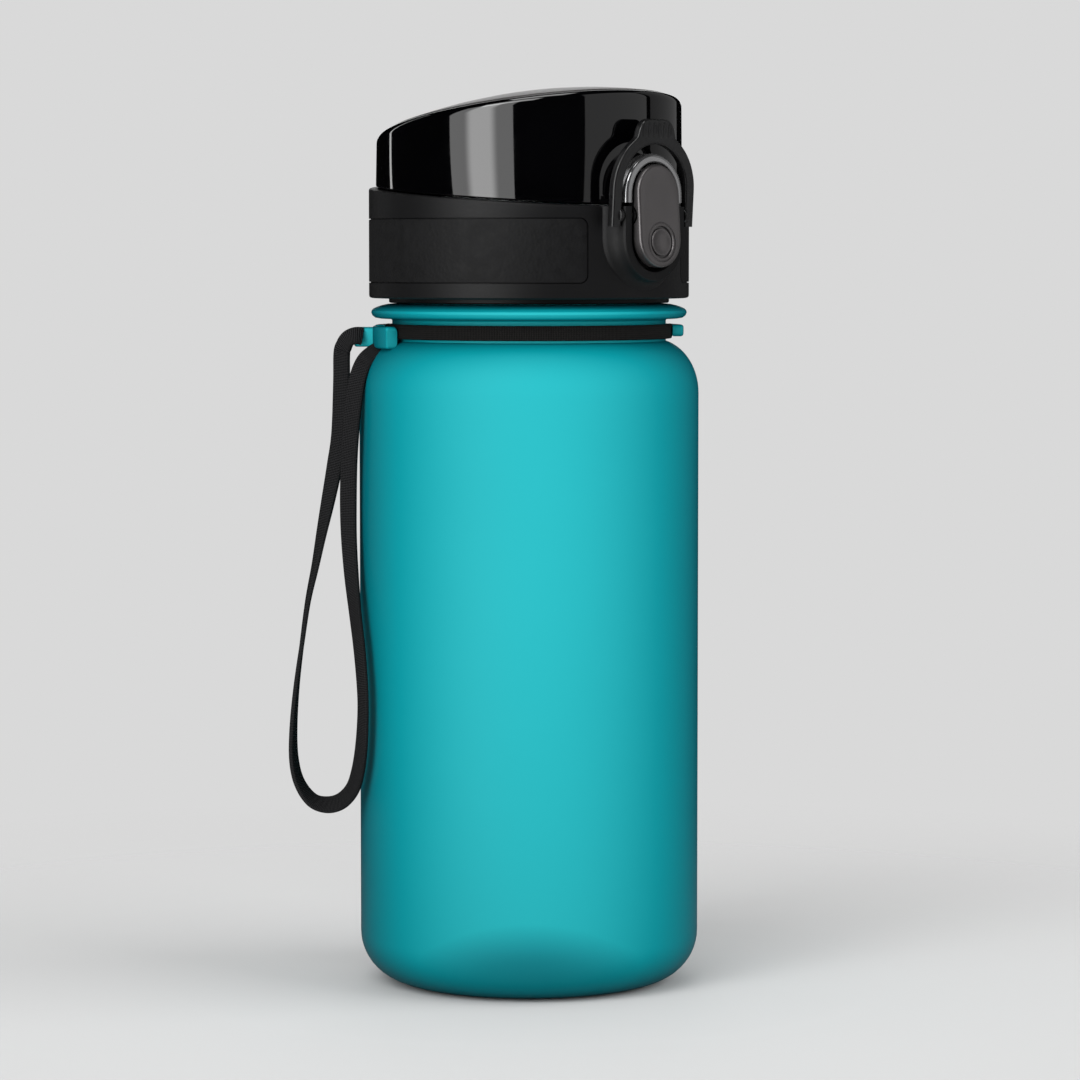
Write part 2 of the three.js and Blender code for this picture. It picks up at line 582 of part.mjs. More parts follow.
function addButton() {
  const side = polygon([[-32.9, 135], [-32.9, 158], [-33.85, 158], [-35.35, 135]].reverse());
  const outline = forwards(pill(BUTTON_RADIUS, BUTTON_LOW, BUTTON_HIGH), 30, 37);
  const barrelClearance = rodAcross(PIVOT_Y, PIVOT_Z, 1.8, -8, 8);
  const ringGroove = forwards(discShape(RING_OUTER, DIMPLE_Z), 34.4, 37);
  const dimple = cut(ringGroove, forwards(discShape(RING_INNER, DIMPLE_Z), 30, 37));
  const face = outline.intersect(across(side, -7, 7));
  addSolid('button_face', cut(face, barrelClearance, dimple), BUTTON_METAL);

  const lever = cut(
    joined(
      forwards(pill(4.9, 143.1, 150.4), 31, 32.6),
      rodAcross(PIVOT_Y, PIVOT_Z, 1.5, -5.6, 5.6),
      box([-2.5, 2.5], [-31.2, -30.65], [152.6, 154.2]),
    ),
    rodAcross(PIVOT_Y, PIVOT_Z, PIVOT_HOLE_RADIUS, -8, 8),
    forwards(discShape(2.4, DIMPLE_Z), 30, 32.2),
  );
  addSolid('latch_lever', lever, MATTE_BLACK);
  addSolid('pivot_pin', rodAcross(PIVOT_Y, PIVOT_Z, PIVOT_PIN_RADIUS, -10.2, 10.2), STEEL);
  addGeometry('button_spring', wire(new ButtonCoil(), 0.17, 30, 4), STEEL);
}

function discShape(radius, z) {
  const shape = new THREE.Shape();
  shape.absarc(0, z, radius, 0, 2 * Math.PI);
  return shape;
}

class ButtonCoil extends THREE.Curve {
  // A short compression coil between the housing's pocket floor and the lever's recess.
  getPoint(t) {
    const [turns, radius, near, far] = [3, 1.7, POCKET_FLOOR + 0.5, 31.7];
    const angle = t * turns * 2 * Math.PI;
    const y = -(near + (far - near) * t);
    return new THREE.Vector3(radius * Math.cos(angle), y, DIMPLE_Z + radius * Math.sin(angle));
  }
}

// Lock bail: a hoop that stands round the button's housing, with a thumb tab on its arch.
function bailShape() {
  const tabAngle = Math.acos(BAIL_TAB_HALF_WIDTH / BAIL_OUTER);
  const corner = 1.8;
  const shape = new THREE.Shape();
  shape.moveTo(BAIL_OUTER, BAIL_FOOT);
  shape.absarc(0, BAIL_ARCH, BAIL_OUTER, 0, tabAngle);
  shape.absarc(BAIL_TAB_HALF_WIDTH - corner, BAIL_TAB_TOP - corner, corner, 0, RIGHT_ANGLE);
  shape.absarc(corner - BAIL_TAB_HALF_WIDTH, BAIL_TAB_TOP - corner, corner, RIGHT_ANGLE, Math.PI);
  shape.absarc(0, BAIL_ARCH, BAIL_OUTER, Math.PI - tabAngle, Math.PI);
  shape.lineTo(-BAIL_OUTER, BAIL_FOOT);
  shape.lineTo(-BAIL_INNER, BAIL_FOOT);
  shape.absarc(0, BAIL_ARCH, BAIL_INNER, Math.PI, 0, true);
  shape.lineTo(BAIL_INNER, BAIL_FOOT);
  return shape;
}

function addBail() {
  const upright = forwards(bailShape(), BAIL_BACK, BAIL_FRONT);
  const leaning = tiltedAt(upright, BAIL_LEAN, PIVOT_Y, PIVOT_Z);
  const pinHole = rodAcross(PIVOT_Y, PIVOT_Z, 0.75, -10.5, 10.5, 12);
  addSolid('lock_bail', cut(leaning, pinHole), MATTE_BLACK);
}

addBottle();
addStrap();
addCollar();
addGripBand();
addLidCore();
addSeals();
addSpout();
addCapShell();
addCapTop();
addCapLiner();
addCapSeal();
addHinge();
addBezel();
addButton();
addBail();

export default assembly;
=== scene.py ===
"""A small translucent drinking bottle with a one-touch lid and a wrist strap, in a pale studio.

Lengths are in millimetres in the geometry code and become metres in make_object().
"""
import math

import bmesh
import bpy
from mathutils import Matrix, Vector


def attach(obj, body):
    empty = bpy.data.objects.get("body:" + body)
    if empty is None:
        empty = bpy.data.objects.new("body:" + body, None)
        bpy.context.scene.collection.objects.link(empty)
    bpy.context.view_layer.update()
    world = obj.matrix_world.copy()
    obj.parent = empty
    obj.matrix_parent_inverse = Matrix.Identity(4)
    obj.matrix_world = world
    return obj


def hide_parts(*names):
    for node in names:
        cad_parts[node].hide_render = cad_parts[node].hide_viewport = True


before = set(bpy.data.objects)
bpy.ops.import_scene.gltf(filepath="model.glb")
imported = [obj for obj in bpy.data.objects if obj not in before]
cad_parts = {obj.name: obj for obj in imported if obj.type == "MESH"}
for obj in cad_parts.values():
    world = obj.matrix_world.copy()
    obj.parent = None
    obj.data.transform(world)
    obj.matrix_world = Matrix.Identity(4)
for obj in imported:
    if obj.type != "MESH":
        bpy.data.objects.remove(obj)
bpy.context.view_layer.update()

MM = 0.001
TAU = 2 * math.pi
TINY = 1e-6

# ---------------------------------------------------------------- dimensions
BODY_RADIUS = 32.5
WALL = 2.0
FOOT_INNER_RADIUS = 18.9
FOOT_OUTER_RADIUS = 22.9
BASE_CORNER = 9.6
BASE_DOME = 6.0
SIDE_TOP = 113.2
SHOULDER_CENTRE = 24.0
SHOULDER_ACROSS = 8.5
SHOULDER_RISE = 10.3
NECK_RADIUS = 26.2
THREADED_NECK_RADIUS = 23.2
BORE_RADIUS = 21.0
NECK_TOP = 145.0
THREAD_LEAD = 4.0
THREAD_TURNS = 1.25
MALE_THREAD_START = 134.0

BAND_INNER, BAND_OUTER = 26.5, 27.4
BAND_LOW, BAND_HIGH = 123.6, 126.4
HOOK_FROM, HOOK_TO = -53.0, 143.0
BAND_FROM, BAND_TO = 134.5, 315.5
HOOK_LOW, HOOK_TOP, HOOK_RADIUS = 124.0, 126.2, 29.6
HOOK_SLOT = 11.5
SLOT_RADIUS = 27.7
LUG_ANGLE = 135.0
LUG_REACH = 33.4
PLATE_FROM, PLATE_TO = 125.0, 161.5
PLATE_INNER, PLATE_OUTER = 27.8, 30.0
PLATE_LOW, PLATE_TOP = 121.75, 126.0
EYE_HALF, EYE_LOW, EYE_TOP = 3.1, 122.0, 125.7
EYE_SIDE, EYE_BAR = 1.2, 1.3

COLLAR_RADIUS = 30.6
COLLAR_INNER = 28.6
COLLAR_BOTTOM = 131.3
RIM = 150.7
RIM_SLOPE = 2.26 / 30.6
GRIP_LOW, GRIP_HIGH = 134.2, 146.4
GRIP_SEAT = 30.25
GRIP_FREE = 24.0
GRIP_GAP = 0.18
GAP = 0.3

CAP_RADIUS = 29.24
CAP_EDGE_RADIUS = 29.1
CAP_WALL = 1.8
CAP_EDGE = 165.3
CAP_SLOPE = -4.9 / 29.0
CAP_RISE = 4.3
CAP_SPAN = 29.0
CAP_CEILING = 2.4
PANEL_RADIUS = 27.6
PANEL_THICKNESS = 0.8
PANEL_SEAT = 1.1

HINGE_Y, HINGE_Z, HINGE_RADIUS = 31.5, 155.0, 2.4
HINGE_BORE = 1.3
HINGE_PIN, HINGE_PIN_REACH = 1.0, 6.9
EAR_INNER, EAR_OUTER = 4.7, 7.0
EAR_ROOT = 29.0
KNUCKLE_INNER, KNUCKLE_OUTER = 2.3, 4.4
KNUCKLE_ROOT = 28.4
HOUSING_RADIUS, HOUSING_LOW, HOUSING_FRONT = 8.1, 142.7, 33.2
HOUSING_SPLIT = 148.5
BEZEL_RADIUS, BEZEL_CENTRE, BEZEL_BOTTOM = 7.7, 150.6, 149.2
POCKET_RADIUS, POCKET_FLOOR = 6.1, 29.5
BEZEL_BACK, BEZEL_NOTCH_BACK, NOTCH_HALF = 29.9, 31.05, 4.6
PIVOT_Y, PIVOT_Z = -32.0, 146.8
PIVOT_BORE = 1.0
PIVOT_PIN, PIVOT_PIN_REACH = 0.7, 10.2
BUTTON_RADIUS, BUTTON_LOW, BUTTON_HIGH = 5.5, 142.7, 150.8
BUTTON_BACK = 32.9
BUTTON_GROOVE = 1.8
DIMPLE_Z, DIMPLE_EDGE = 141.9, 3.75
BAIL_OUTER, BAIL_INNER = 10.85, 8.55
BAIL_ARCH, BAIL_FOOT = 151.5, 144.8
BAIL_TAB_TOP, BAIL_TAB_HALF = 164.7, 4.7
BAIL_TAB_CORNER, BAIL_TAB_BLEND = 2.7, 1.9
BAIL_RIB_PITCH, BAIL_RIB_DEPTH = 1.35, 0.28
BAIL_BORE = 0.75
HUB_INNER, HUB_OUTER, HUB_RADIUS = 8.25, 9.2, 1.35
BAIL_BACK, BAIL_FRONT = 31.2, 32.8
BAIL_LEAN = math.radians(3.5)

# ---------------------------------------------------------------- camera
CAMERA_PLACE = Vector((-0.5636, -0.5636, 0.1408))
CAMERA_AIM = Vector((0.00149, -0.00149, 0.0848))
CAMERA_LENS = 138.5
CAMERA_SENSOR = 36.0
camera = bpy.data.objects.new("camera", bpy.data.cameras.new("camera"))
bpy.context.scene.collection.objects.link(camera)
camera.data.sensor_width = CAMERA_SENSOR
camera.data.lens = CAMERA_LENS
camera.data.clip_start = 0.05
camera.location = CAMERA_PLACE
camera.rotation_euler = (CAMERA_AIM - CAMERA_PLACE).to_track_quat("-Z", "Y").to_euler()
bpy.context.scene.camera = camera


# ---------------------------------------------------------------- mesh helpers
def make_object(name, verts, faces):
    """A mesh object from millimetre points, with welded points and outward faces."""
    mesh = bpy.data.meshes.new(name)
    mesh.from_pydata([tuple(c * MM for c in v) for v in verts], [], faces)
    tidy = bmesh.new()
    tidy.from_mesh(mesh)
    bmesh.ops.remove_doubles(tidy, verts=tidy.verts, dist=1e-6)
    bmesh.ops.recalc_face_normals(tidy, faces=tidy.faces)
    tidy.to_mesh(mesh)
    tidy.free()
    made = bpy.data.objects.new(name, mesh)
    bpy.context.scene.collection.objects.link(made)
    return made


def loft(name, rings, closed=True, caps=True):
    """Joins rings of equal length. closed joins the last ring to the first, caps fills the two ends."""
    count = len(rings[0])
    verts = [p for r in rings for p in r]
    faces = []
    last = len(rings) if closed else len(rings) - 1
    for k in range(last):
        a, b = k * count, ((k + 1) % len(rings)) * count
        for i in range(count):
            j = (i + 1) % count
            faces.append((a + i, a + j, b + j, b + i))
    if caps and not closed:
        faces.append(tuple(range(count)))
        faces.append(tuple((len(rings) - 1) * count + i for i in range(count)))
    return make_object(name, verts, faces)


def lathe(name, profile, segments=160):
    """Turns a closed (radius, height, slope) profile about Z. slope is the height gained per mm of +Y."""
    rings = []
    for k in range(segments):
        angle = TAU * k / segments
        c, s = math.cos(angle), math.sin(angle)
        ring = []
        for p in profile:
            slope = p[2] if len(p) > 2 else 0.0
            ring.append((p[0] * c, p[0] * s, p[1] + slope * p[0] * s))
        rings.append(ring)
    return loft(name, rings)


def arc(centre, across, up, start, end, steps):
    """Points on an elliptical arc; start and end are in degrees."""
    made = []
    for i in range(steps + 1):
        a = math.radians(start + (end - start) * i / steps)
        made.append((centre[0] + across * math.cos(a), centre[1] + up * math.sin(a)))
    return made


def rounded_section(low, high, radius, steps=4):
    """A closed rounded rectangle between the corners low and high."""
    (x0, y0), (x1, y1) = low, high
    r = min(radius, (x1 - x0) / 2, (y1 - y0) / 2)
    return (
        arc((x0 + r, y0 + r), r, r, 180, 270, steps)
        + arc((x1 - r, y0 + r), r, r, 270, 360, steps)
        + arc((x1 - r, y1 - r), r, r, 0, 90, steps)
        + arc((x0 + r, y1 - r), r, r, 90, 180, steps)
    )


def sector(name, section, start, end, step=2.0, corner=0.0):
    """Turns a closed (radius, height) section from start to end degrees. corner rounds the end corners."""
    radius = sum(p[0] for p in section) / len(section)
    middle = sum(p[1] for p in section) / len(section)
    half = max(p[1] for p in section) - middle
    count = max(2, round(abs(end - start) / step))
    places = [i / count for i in range(count + 1)]
    if corner:
        share = math.degrees(corner / radius) / abs(end - start)
        ease = [share * (1 - math.cos(math.pi / 2 * i / 8)) for i in range(1, 9)]
        inner = [p for p in places if share < p < 1 - share]
        places = [0.0, *ease, *inner, *[1 - e for e in reversed(ease)], 1.0]
    rings = []
    for place in places:
        angle = math.radians(start + (end - start) * place)
        shrink = 1.0
        if corner:
            from_end = min(place, 1 - place) / share
            if from_end < 1:
                shrink = (half - corner + corner * math.sqrt(1 - (1 - from_end) ** 2)) / half
        c, s = math.cos(angle), math.sin(angle)
        rings.append([(r * c, r * s, middle + (z - middle) * shrink) for r, z in section])
    return loft(name, rings, closed=False)


def pill_outline(radius, low, high, steps=28):
    """An upright slot outline in x and z, anticlockwise from its right side."""
    top = arc((0, high), radius, radius, 0, 180, steps)
    return top + arc((0, low), radius, radius, 180, 360, steps)


def pill_loft(name, stations):
    """Lofts slot outlines: each station is (distance from the axis or a function of x, radius, low, high)."""
    rings = []
    for depth, radius, low, high in stations:
        ring = []
        for x, z in pill_outline(radius, low, high):
            d = depth(x) if callable(depth) else depth
            ring.append((x, -d, z))
        rings.append(ring)
    return loft(name, rings, closed=False)


def rounded_box(name, x, y, z, radius=0.4, segments=3):
    """A box between the (low, high) pairs x, y and z, with its edges rounded."""
    centre = [(a[0] + a[1]) / 2 * MM for a in (x, y, z)]
    size = [(a[1] - a[0]) * MM for a in (x, y, z)]
    mesh = bpy.data.meshes.new(name)
    solid = bmesh.new()
    bmesh.ops.create_cube(solid, size=1.0)
    for v in solid.verts:
        v.co = Vector(centre[i] + v.co[i] * size[i] for i in range(3))
    if radius:
        bmesh.ops.bevel(solid, geom=solid.edges[:], offset=radius * MM, segments=segments, profile=0.5,
                        affect="EDGES", clamp_overlap=True)
    solid.to_mesh(mesh)
    solid.free()
    made = bpy.data.objects.new(name, mesh)
    bpy.context.scene.collection.objects.link(made)
    return made


def tube(name, points, radius, sides=20, caps=True):
    """A round rod or wire along points."""
    path = [Vector(p) for p in points]
    rings, normal = [], None
    for i, p in enumerate(path):
        ahead = (path[min(i + 1, len(path) - 1)] - path[max(i - 1, 0)]).normalized()
        if normal is None:
            normal = ahead.orthogonal().normalized()
        normal = (normal - ahead * normal.dot(ahead)).normalized()
        across = ahead.cross(normal)
        size = radius[i] if isinstance(radius, list) else radius
        ring = []
        for k in range(sides):
            angle = TAU * k / sides
            ring.append(tuple(p + size * (math.cos(angle) * normal + math.sin(angle) * across)))
        rings.append(ring)
    return loft(name, rings, closed=False, caps=caps)


def rod_across(name, y, z, radius, from_x, to_x, edge=0.2):
    """A rod along X with softened ends."""
    xs = [from_x, from_x + edge / 3, from_x + edge, to_x - edge, to_x - edge / 3, to_x]
    sizes = [radius - edge, radius - edge / 3, radius, radius, radius - edge / 3, radius - edge]
    return tube(name, [(x, y, z) for x in xs], sizes, sides=40)


def combine(base, tool, how):
    """base joined with or cut by tool, which is removed."""
    cutter = base.modifiers.new("combine", "BOOLEAN")
    cutter.operation = how
    cutter.object = tool
    cutter.solver = "EXACT"
    bpy.context.view_layer.update()
    result = bpy.data.meshes.new_from_object(base.evaluated_get(bpy.context.evaluated_depsgraph_get()))
    base.modifiers.clear()
    old = base.data
    base.data = result
    bpy.data.meshes.remove(old)
    bpy.data.objects.remove(tool)
    return base


def cut(base, *tools):
    for tool in tools:
        combine(base, tool, "DIFFERENCE")
    return base


def add(base, *tools):
    for tool in tools:
        combine(base, tool, "UNION")
    return base


def soften(made, width, segments=3, angle=35):
    """Rounds the edges sharper than an angle."""
    round_off = made.modifiers.new("soften", "BEVEL")
    round_off.width = width * MM
    round_off.segments = segments
    round_off.limit_method = "ANGLE"
    round_off.angle_limit = math.radians(angle)
    round_off.use_clamp_overlap = True
    return made


def piece(made, body, look, nodes=(), sharp=40):
    """Gives a piece its material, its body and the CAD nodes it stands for."""
    made.data.materials.clear()
    made.data.materials.append(look)
    made.data.shade_smooth()
    made.data.set_sharp_from_angle(angle=math.radians(sharp))
    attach(made, body)
    if nodes:
        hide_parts(*nodes)
    return made


# ---------------------------------------------------------------- material helpers
# A Mix node has sockets of the same name for every data type: these are its colour ones.
COLOUR_A, COLOUR_B, COLOUR_OUT = 6, 7, 2


def node_tree(name):
    look = bpy.data.materials.new(name)
    look.use_nodes = True
    tree = look.node_tree
    shader = tree.nodes["Principled BSDF"]
    return look, tree, shader


def coordinates(tree, output="Object"):
    return tree.nodes.new("ShaderNodeTexCoord").outputs[output]


def noise(tree, where, scale, detail=3.0, roughness=0.55, stretch=None):
    """Noise whose scale counts features a metre."""
    if stretch:
        mapping = tree.nodes.new("ShaderNodeMapping")
        mapping.inputs["Scale"].default_value = stretch
        tree.links.new(where, mapping.inputs["Vector"])
        where = mapping.outputs["Vector"]
    made = tree.nodes.new("ShaderNodeTexNoise")
    made.inputs["Scale"].default_value = scale
    made.inputs["Detail"].default_value = detail
    made.inputs["Roughness"].default_value = roughness
    tree.links.new(where, made.inputs["Vector"])
    return made.outputs["Fac"]


def ramp(tree, value, stops):
    """A colour ramp from (position, colour) stops."""
    made = tree.nodes.new("ShaderNodeValToRGB")
    elements = made.color_ramp.elements
    while len(elements) < len(stops):
        elements.new(0.5)
    for element, (position, colour) in zip(elements, stops):
        element.position = position
        element.color = (*colour, 1)
    tree.links.new(value, made.inputs["Fac"])
    return made.outputs["Color"]


def mixed(tree, share, first, second):
    """Mixes two colours. Each of them is a socket or an (r, g, b)."""
    made = tree.nodes.new("ShaderNodeMix")
    made.data_type = "RGBA"
    tree.links.new(share, made.inputs["Factor"])
    for socket, colour in ((made.inputs[COLOUR_A], first), (made.inputs[COLOUR_B], second)):
        if isinstance(colour, tuple):
            socket.default_value = (*colour, 1)
        else:
            tree.links.new(colour, socket)
    return made.outputs[COLOUR_OUT]


def mixed_shaders(tree, share, first, second):
    """Mixes two shaders into the surface. share is a socket or a number."""
    both = tree.nodes.new("ShaderNodeMixShader")
    if isinstance(share, float):
        both.inputs[0].default_value = share
    else:
        tree.links.new(share, both.inputs[0])
    tree.links.new(first, both.inputs[1])
    tree.links.new(second, both.inputs[2])
    tree.links.new(both.outputs["Shader"], tree.nodes["Material Output"].inputs["Surface"])


def ranged(tree, value, low, high, from_low=0.3, from_high=0.7):
    """Maps the range from_low..from_high of a value onto low..high, clamped."""
    made = tree.nodes.new("ShaderNodeMapRange")
    made.inputs["From Min"].default_value = from_low
    made.inputs["From Max"].default_value = from_high
    made.inputs["To Min"].default_value = low
    made.inputs["To Max"].default_value = high
    tree.links.new(value, made.inputs["Value"])
    return made.outputs["Result"]


def bump(tree, shader, height, strength, distance_mm, after=None):
    """Adds a bump to the shader, on top of another bump's normal when after is given."""
    made = tree.nodes.new("ShaderNodeBump")
    made.inputs["Strength"].default_value = strength
    made.inputs["Distance"].default_value = distance_mm * MM
    tree.links.new(height, made.inputs["Height"])
    if after is not None:
        tree.links.new(after, made.inputs["Normal"])
    tree.links.new(made.outputs["Normal"], shader.inputs["Normal"])
    return made.outputs["Normal"]


def moulded(name, dark, light, grain, roughness, bump_mm=0.03, strength=0.35, metallic=0.0, coat=0.0,
            specular=0.5, waves=60.0):
    """Moulded plastic or metal: a slow mottle in colour, a fine grain in roughness and height."""
    look, tree, shader = node_tree(name)
    where = coordinates(tree)
    slow = noise(tree, where, waves, 2.0)
    fine = noise(tree, where, grain, 3.0)
    tree.links.new(ramp(tree, slow, [(0.3, dark), (0.7, light)]), shader.inputs["Base Color"])
    tree.links.new(ranged(tree, fine, *roughness), shader.inputs["Roughness"])
    bump(tree, shader, fine, strength, bump_mm)
    shader.inputs["Metallic"].default_value = metallic
    shader.inputs["Coat Weight"].default_value = coat
    shader.inputs["Specular IOR Level"].default_value = specular
    return look


# ---------------------------------------------------------------- materials
# Painted shade of the push-up base, as seen through the wall, reaches up to ARCH_HIGH in the middle and
# ARCH_DROP less at the sides.
ARCH_LOW, ARCH_HIGH, ARCH_DROP = 0.006, 0.0160, 0.016
ARCH_SHARE = 0.05
THROUGH_SHARE = 0.3


def painted_base_shade(tree, where, colour):
    """Deepens the colour with painted shade where the push-up base shows through the wall, as a soft arch."""
    parts = tree.nodes.new("ShaderNodeSeparateXYZ")
    tree.links.new(where, parts.inputs[0])
    through = tree.nodes.new("ShaderNodeLayerWeight")
    through.inputs["Blend"].default_value = 0.75
    lowered = tree.nodes.new("ShaderNodeMath")
    lowered.operation = "MULTIPLY_ADD"
    lowered.inputs[1].default_value = ARCH_DROP
    tree.links.new(through.outputs["Facing"], lowered.inputs[0])
    tree.links.new(parts.outputs["Z"], lowered.inputs[2])
    share = ranged(tree, lowered.outputs[0], ARCH_SHARE, 1.0, ARCH_LOW, ARCH_HIGH)
    # The deep teal here is painted shade of the base seen through the wall.
    return mixed(tree, share, (0.0003, 0.070, 0.095), colour)


def teal_plastic():
    """Frosted plastic that lets light through, with a painted highlight in the middle and deeper colour at
    the edges, partly the longer path through the wall and partly painted shade.
    """
    look, tree, shader = node_tree("frosted_teal")
    where = coordinates(tree)
    edge = tree.nodes.new("ShaderNodeLayerWeight")
    edge.inputs["Blend"].default_value = 0.60
    slow = noise(tree, where, 25.0, 2.0)
    facing = edge.outputs["Facing"]
    # Paler with more red where the wall faces the eye: painted highlight. Deeper towards the edges: partly
    # the longer path through the wall, partly painted shade.
    cool_highlight_to_shade = ramp(tree, facing, [(0.0, (0.017, 0.350, 0.385)), (0.42, (0.0015, 0.225, 0.260)),
                               (1.0, (0.0001, 0.060, 0.080))])
    warm_highlight_to_shade = ramp(tree, facing, [(0.0, (0.020, 0.368, 0.405)), (0.42, (0.0020, 0.240, 0.275)),
                               (1.0, (0.0002, 0.066, 0.088))])
    base = painted_base_shade(tree, where, mixed(tree, slow, cool_highlight_to_shade, warm_highlight_to_shade))
    tree.links.new(base, shader.inputs["Base Color"])
    fine = noise(tree, where, 2600.0, 2.0)
    tree.links.new(ranged(tree, fine, 0.40, 0.46), shader.inputs["Roughness"])
    bump(tree, shader, fine, 0.12, 0.01)
    shader.inputs["Specular IOR Level"].default_value = 0.03
    through = tree.nodes.new("ShaderNodeBsdfTranslucent")
    tree.links.new(base, through.inputs["Color"])
    mixed_shaders(tree, THROUGH_SHARE, shader.outputs["BSDF"], through.outputs["BSDF"])
    return look


def woven(tree, where, direction, scale, distortion):
    """One set of ribs across the tape (X) or along it (Y)."""
    ribs = tree.nodes.new("ShaderNodeTexWave")
    ribs.bands_direction = direction
    ribs.inputs["Scale"].default_value = scale
    ribs.inputs["Distortion"].default_value = distortion
    tree.links.new(where, ribs.inputs["Vector"])
    return ribs


def webbing(name, dark, light):
    """Woven tape: cross ribs and crossing yarns, laid along the tape's own length, with painted sheen on the
    crests and painted shade in the grooves.
    """
    look, tree, shader = node_tree(name)
    where = coordinates(tree, "UV")
    across = woven(tree, where, "X", 1.0, 0.6)
    across.inputs["Detail Scale"].default_value = 2.0
    along = woven(tree, where, "Y", 0.8, 0.5)
    crossed = tree.nodes.new("ShaderNodeMath")
    crossed.operation = "MULTIPLY_ADD"
    crossed.inputs[1].default_value = 0.45
    tree.links.new(along.outputs["Fac"], crossed.inputs[0])
    tree.links.new(across.outputs["Fac"], crossed.inputs[2])
    fuzz = noise(tree, coordinates(tree), 900.0, 4.0)
    # The rib colour runs from dark in the grooves to light on the crests: painted shade and painted sheen, on
    # top of the bump.
    tree.links.new(ramp(tree, crossed.outputs[0], [(0.25, dark), (1.0, light)]), shader.inputs["Base Color"])
    first = bump(tree, shader, crossed.outputs[0], 0.8, 0.12)
    bump(tree, shader, fuzz, 0.4, 0.08, first)
    shader.inputs["Roughness"].default_value = 0.85
    shader.inputs["Specular IOR Level"].default_value = 0.05
    return look


def lumpy_grip():
    """A fine matte grip with shallow lumps."""
    look, tree, shader = node_tree("grip_rubber")
    where = coordinates(tree)
    cells = tree.nodes.new("ShaderNodeTexVoronoi")
    cells.inputs["Scale"].default_value = 1500.0
    tree.links.new(where, cells.inputs["Vector"])
    slow = noise(tree, where, 500.0, 3.0)
    tree.links.new(ramp(tree, slow, [(0.3, (0.0018, 0.0018, 0.0020)), (0.7, (0.0030, 0.0030, 0.0033))]),
                   shader.inputs["Base Color"])
    first = bump(tree, shader, cells.outputs["Distance"], 0.5, 0.10)
    bump(tree, shader, slow, 0.35, 0.08, first)
    shader.inputs["Specular IOR Level"].default_value = 0.17
    tree.links.new(ranged(tree, slow, 0.58, 0.72), shader.inputs["Roughness"])
    return look


def brushed(name, dark, light):
    """Steel drawn along X: fine lines round the rod and streaks along it."""
    look, tree, shader = node_tree(name)
    lines = noise(tree, coordinates(tree), 1200.0, 2.0, stretch=(0.15, 1, 1))
    tree.links.new(ramp(tree, lines, [(0.3, dark), (0.7, light)]), shader.inputs["Base Color"])
    tree.links.new(ranged(tree, lines, 0.22, 0.36), shader.inputs["Roughness"])
    bump(tree, shader, lines, 0.2, 0.01)
    shader.inputs["Metallic"].default_value = 1.0
    return look


TEAL = teal_plastic()
MATTE_BLACK = moulded("matte_black_plastic", (0.0020, 0.0020, 0.0022), (0.0030, 0.0030, 0.0033), 2200.0,
                      (0.46, 0.55), specular=0.17)
HOOP_BLACK = moulded("hoop_black_plastic", (0.0012, 0.0012, 0.0014), (0.0030, 0.0030, 0.0033), 800.0,
                     (0.26, 0.40), 0.07, 0.6, specular=0.42)
GRIP = lumpy_grip()
BEZEL_METAL = moulded("dark_bezel_metal", (0.27, 0.27, 0.275), (0.33, 0.33, 0.335), 900.0, (0.10, 0.16),
                      bump_mm=0.01, strength=0.08, metallic=0.9)
GLOSS_BLACK = moulded("gloss_black_plastic", (0.0003, 0.0003, 0.0004), (0.0006, 0.0006, 0.0008), 300.0,
                      (0.035, 0.06), bump_mm=0.01, strength=0.05, coat=0.3)
SATIN_TOP = moulded("satin_top_panel", (0.020, 0.018, 0.018), (0.026, 0.023, 0.023), 1800.0, (0.34, 0.42),
                    bump_mm=0.015, strength=0.25)
BUTTON_METAL = moulded("satin_button_metal", (0.085, 0.080, 0.081), (0.110, 0.104, 0.105), 2600.0,
                       (0.30, 0.40), bump_mm=0.01, strength=0.3, metallic=0.85)
STEEL = brushed("drawn_steel", (0.42, 0.41, 0.40), (0.55, 0.54, 0.53))
SILICONE = moulded("pale_silicone", (0.60, 0.62, 0.62), (0.68, 0.70, 0.70), 1200.0, (0.42, 0.55),
                   bump_mm=0.02, strength=0.2)
SPOUT_PLASTIC = moulded("pale_spout_plastic", (0.66, 0.70, 0.70), (0.72, 0.75, 0.75), 900.0, (0.24, 0.34),
                        bump_mm=0.01, strength=0.15)
STRAP_WEB = webbing("strap_webbing", (0.0004, 0.0005, 0.0007), (0.0150, 0.0150, 0.0156))
BAND_WEB = webbing("band_webbing", (0.0005, 0.0005, 0.0005), (0.0100, 0.0094, 0.0090))


# ---------------------------------------------------------------- bottle
def thread_rib(name, root, crest, start):
    """The screw thread's rib, which runs out to nothing at both ends."""
    steps = 150
    run_out = 0.06
    depth = crest - root
    section = [(0, -0.8), (depth * 0.8, -0.45), (depth, -0.25), (depth, 0.25), (depth * 0.8, 0.45),
               (0, 0.8)]
    rings = []
    for i in range(steps + 1):
        along = i / steps
        angle = -math.pi / 2 + along * THREAD_TURNS * TAU
        size = min(1.0, along / run_out, (1 - along) / run_out)
        rise = start + along * THREAD_TURNS * THREAD_LEAD
        ring = []
        for out, up in section:
            r = root + out * size
            ring.append((r * math.cos(angle), r * math.sin(angle), rise + up * size))
        rings.append(ring)
    return loft(name, rings, closed=False)


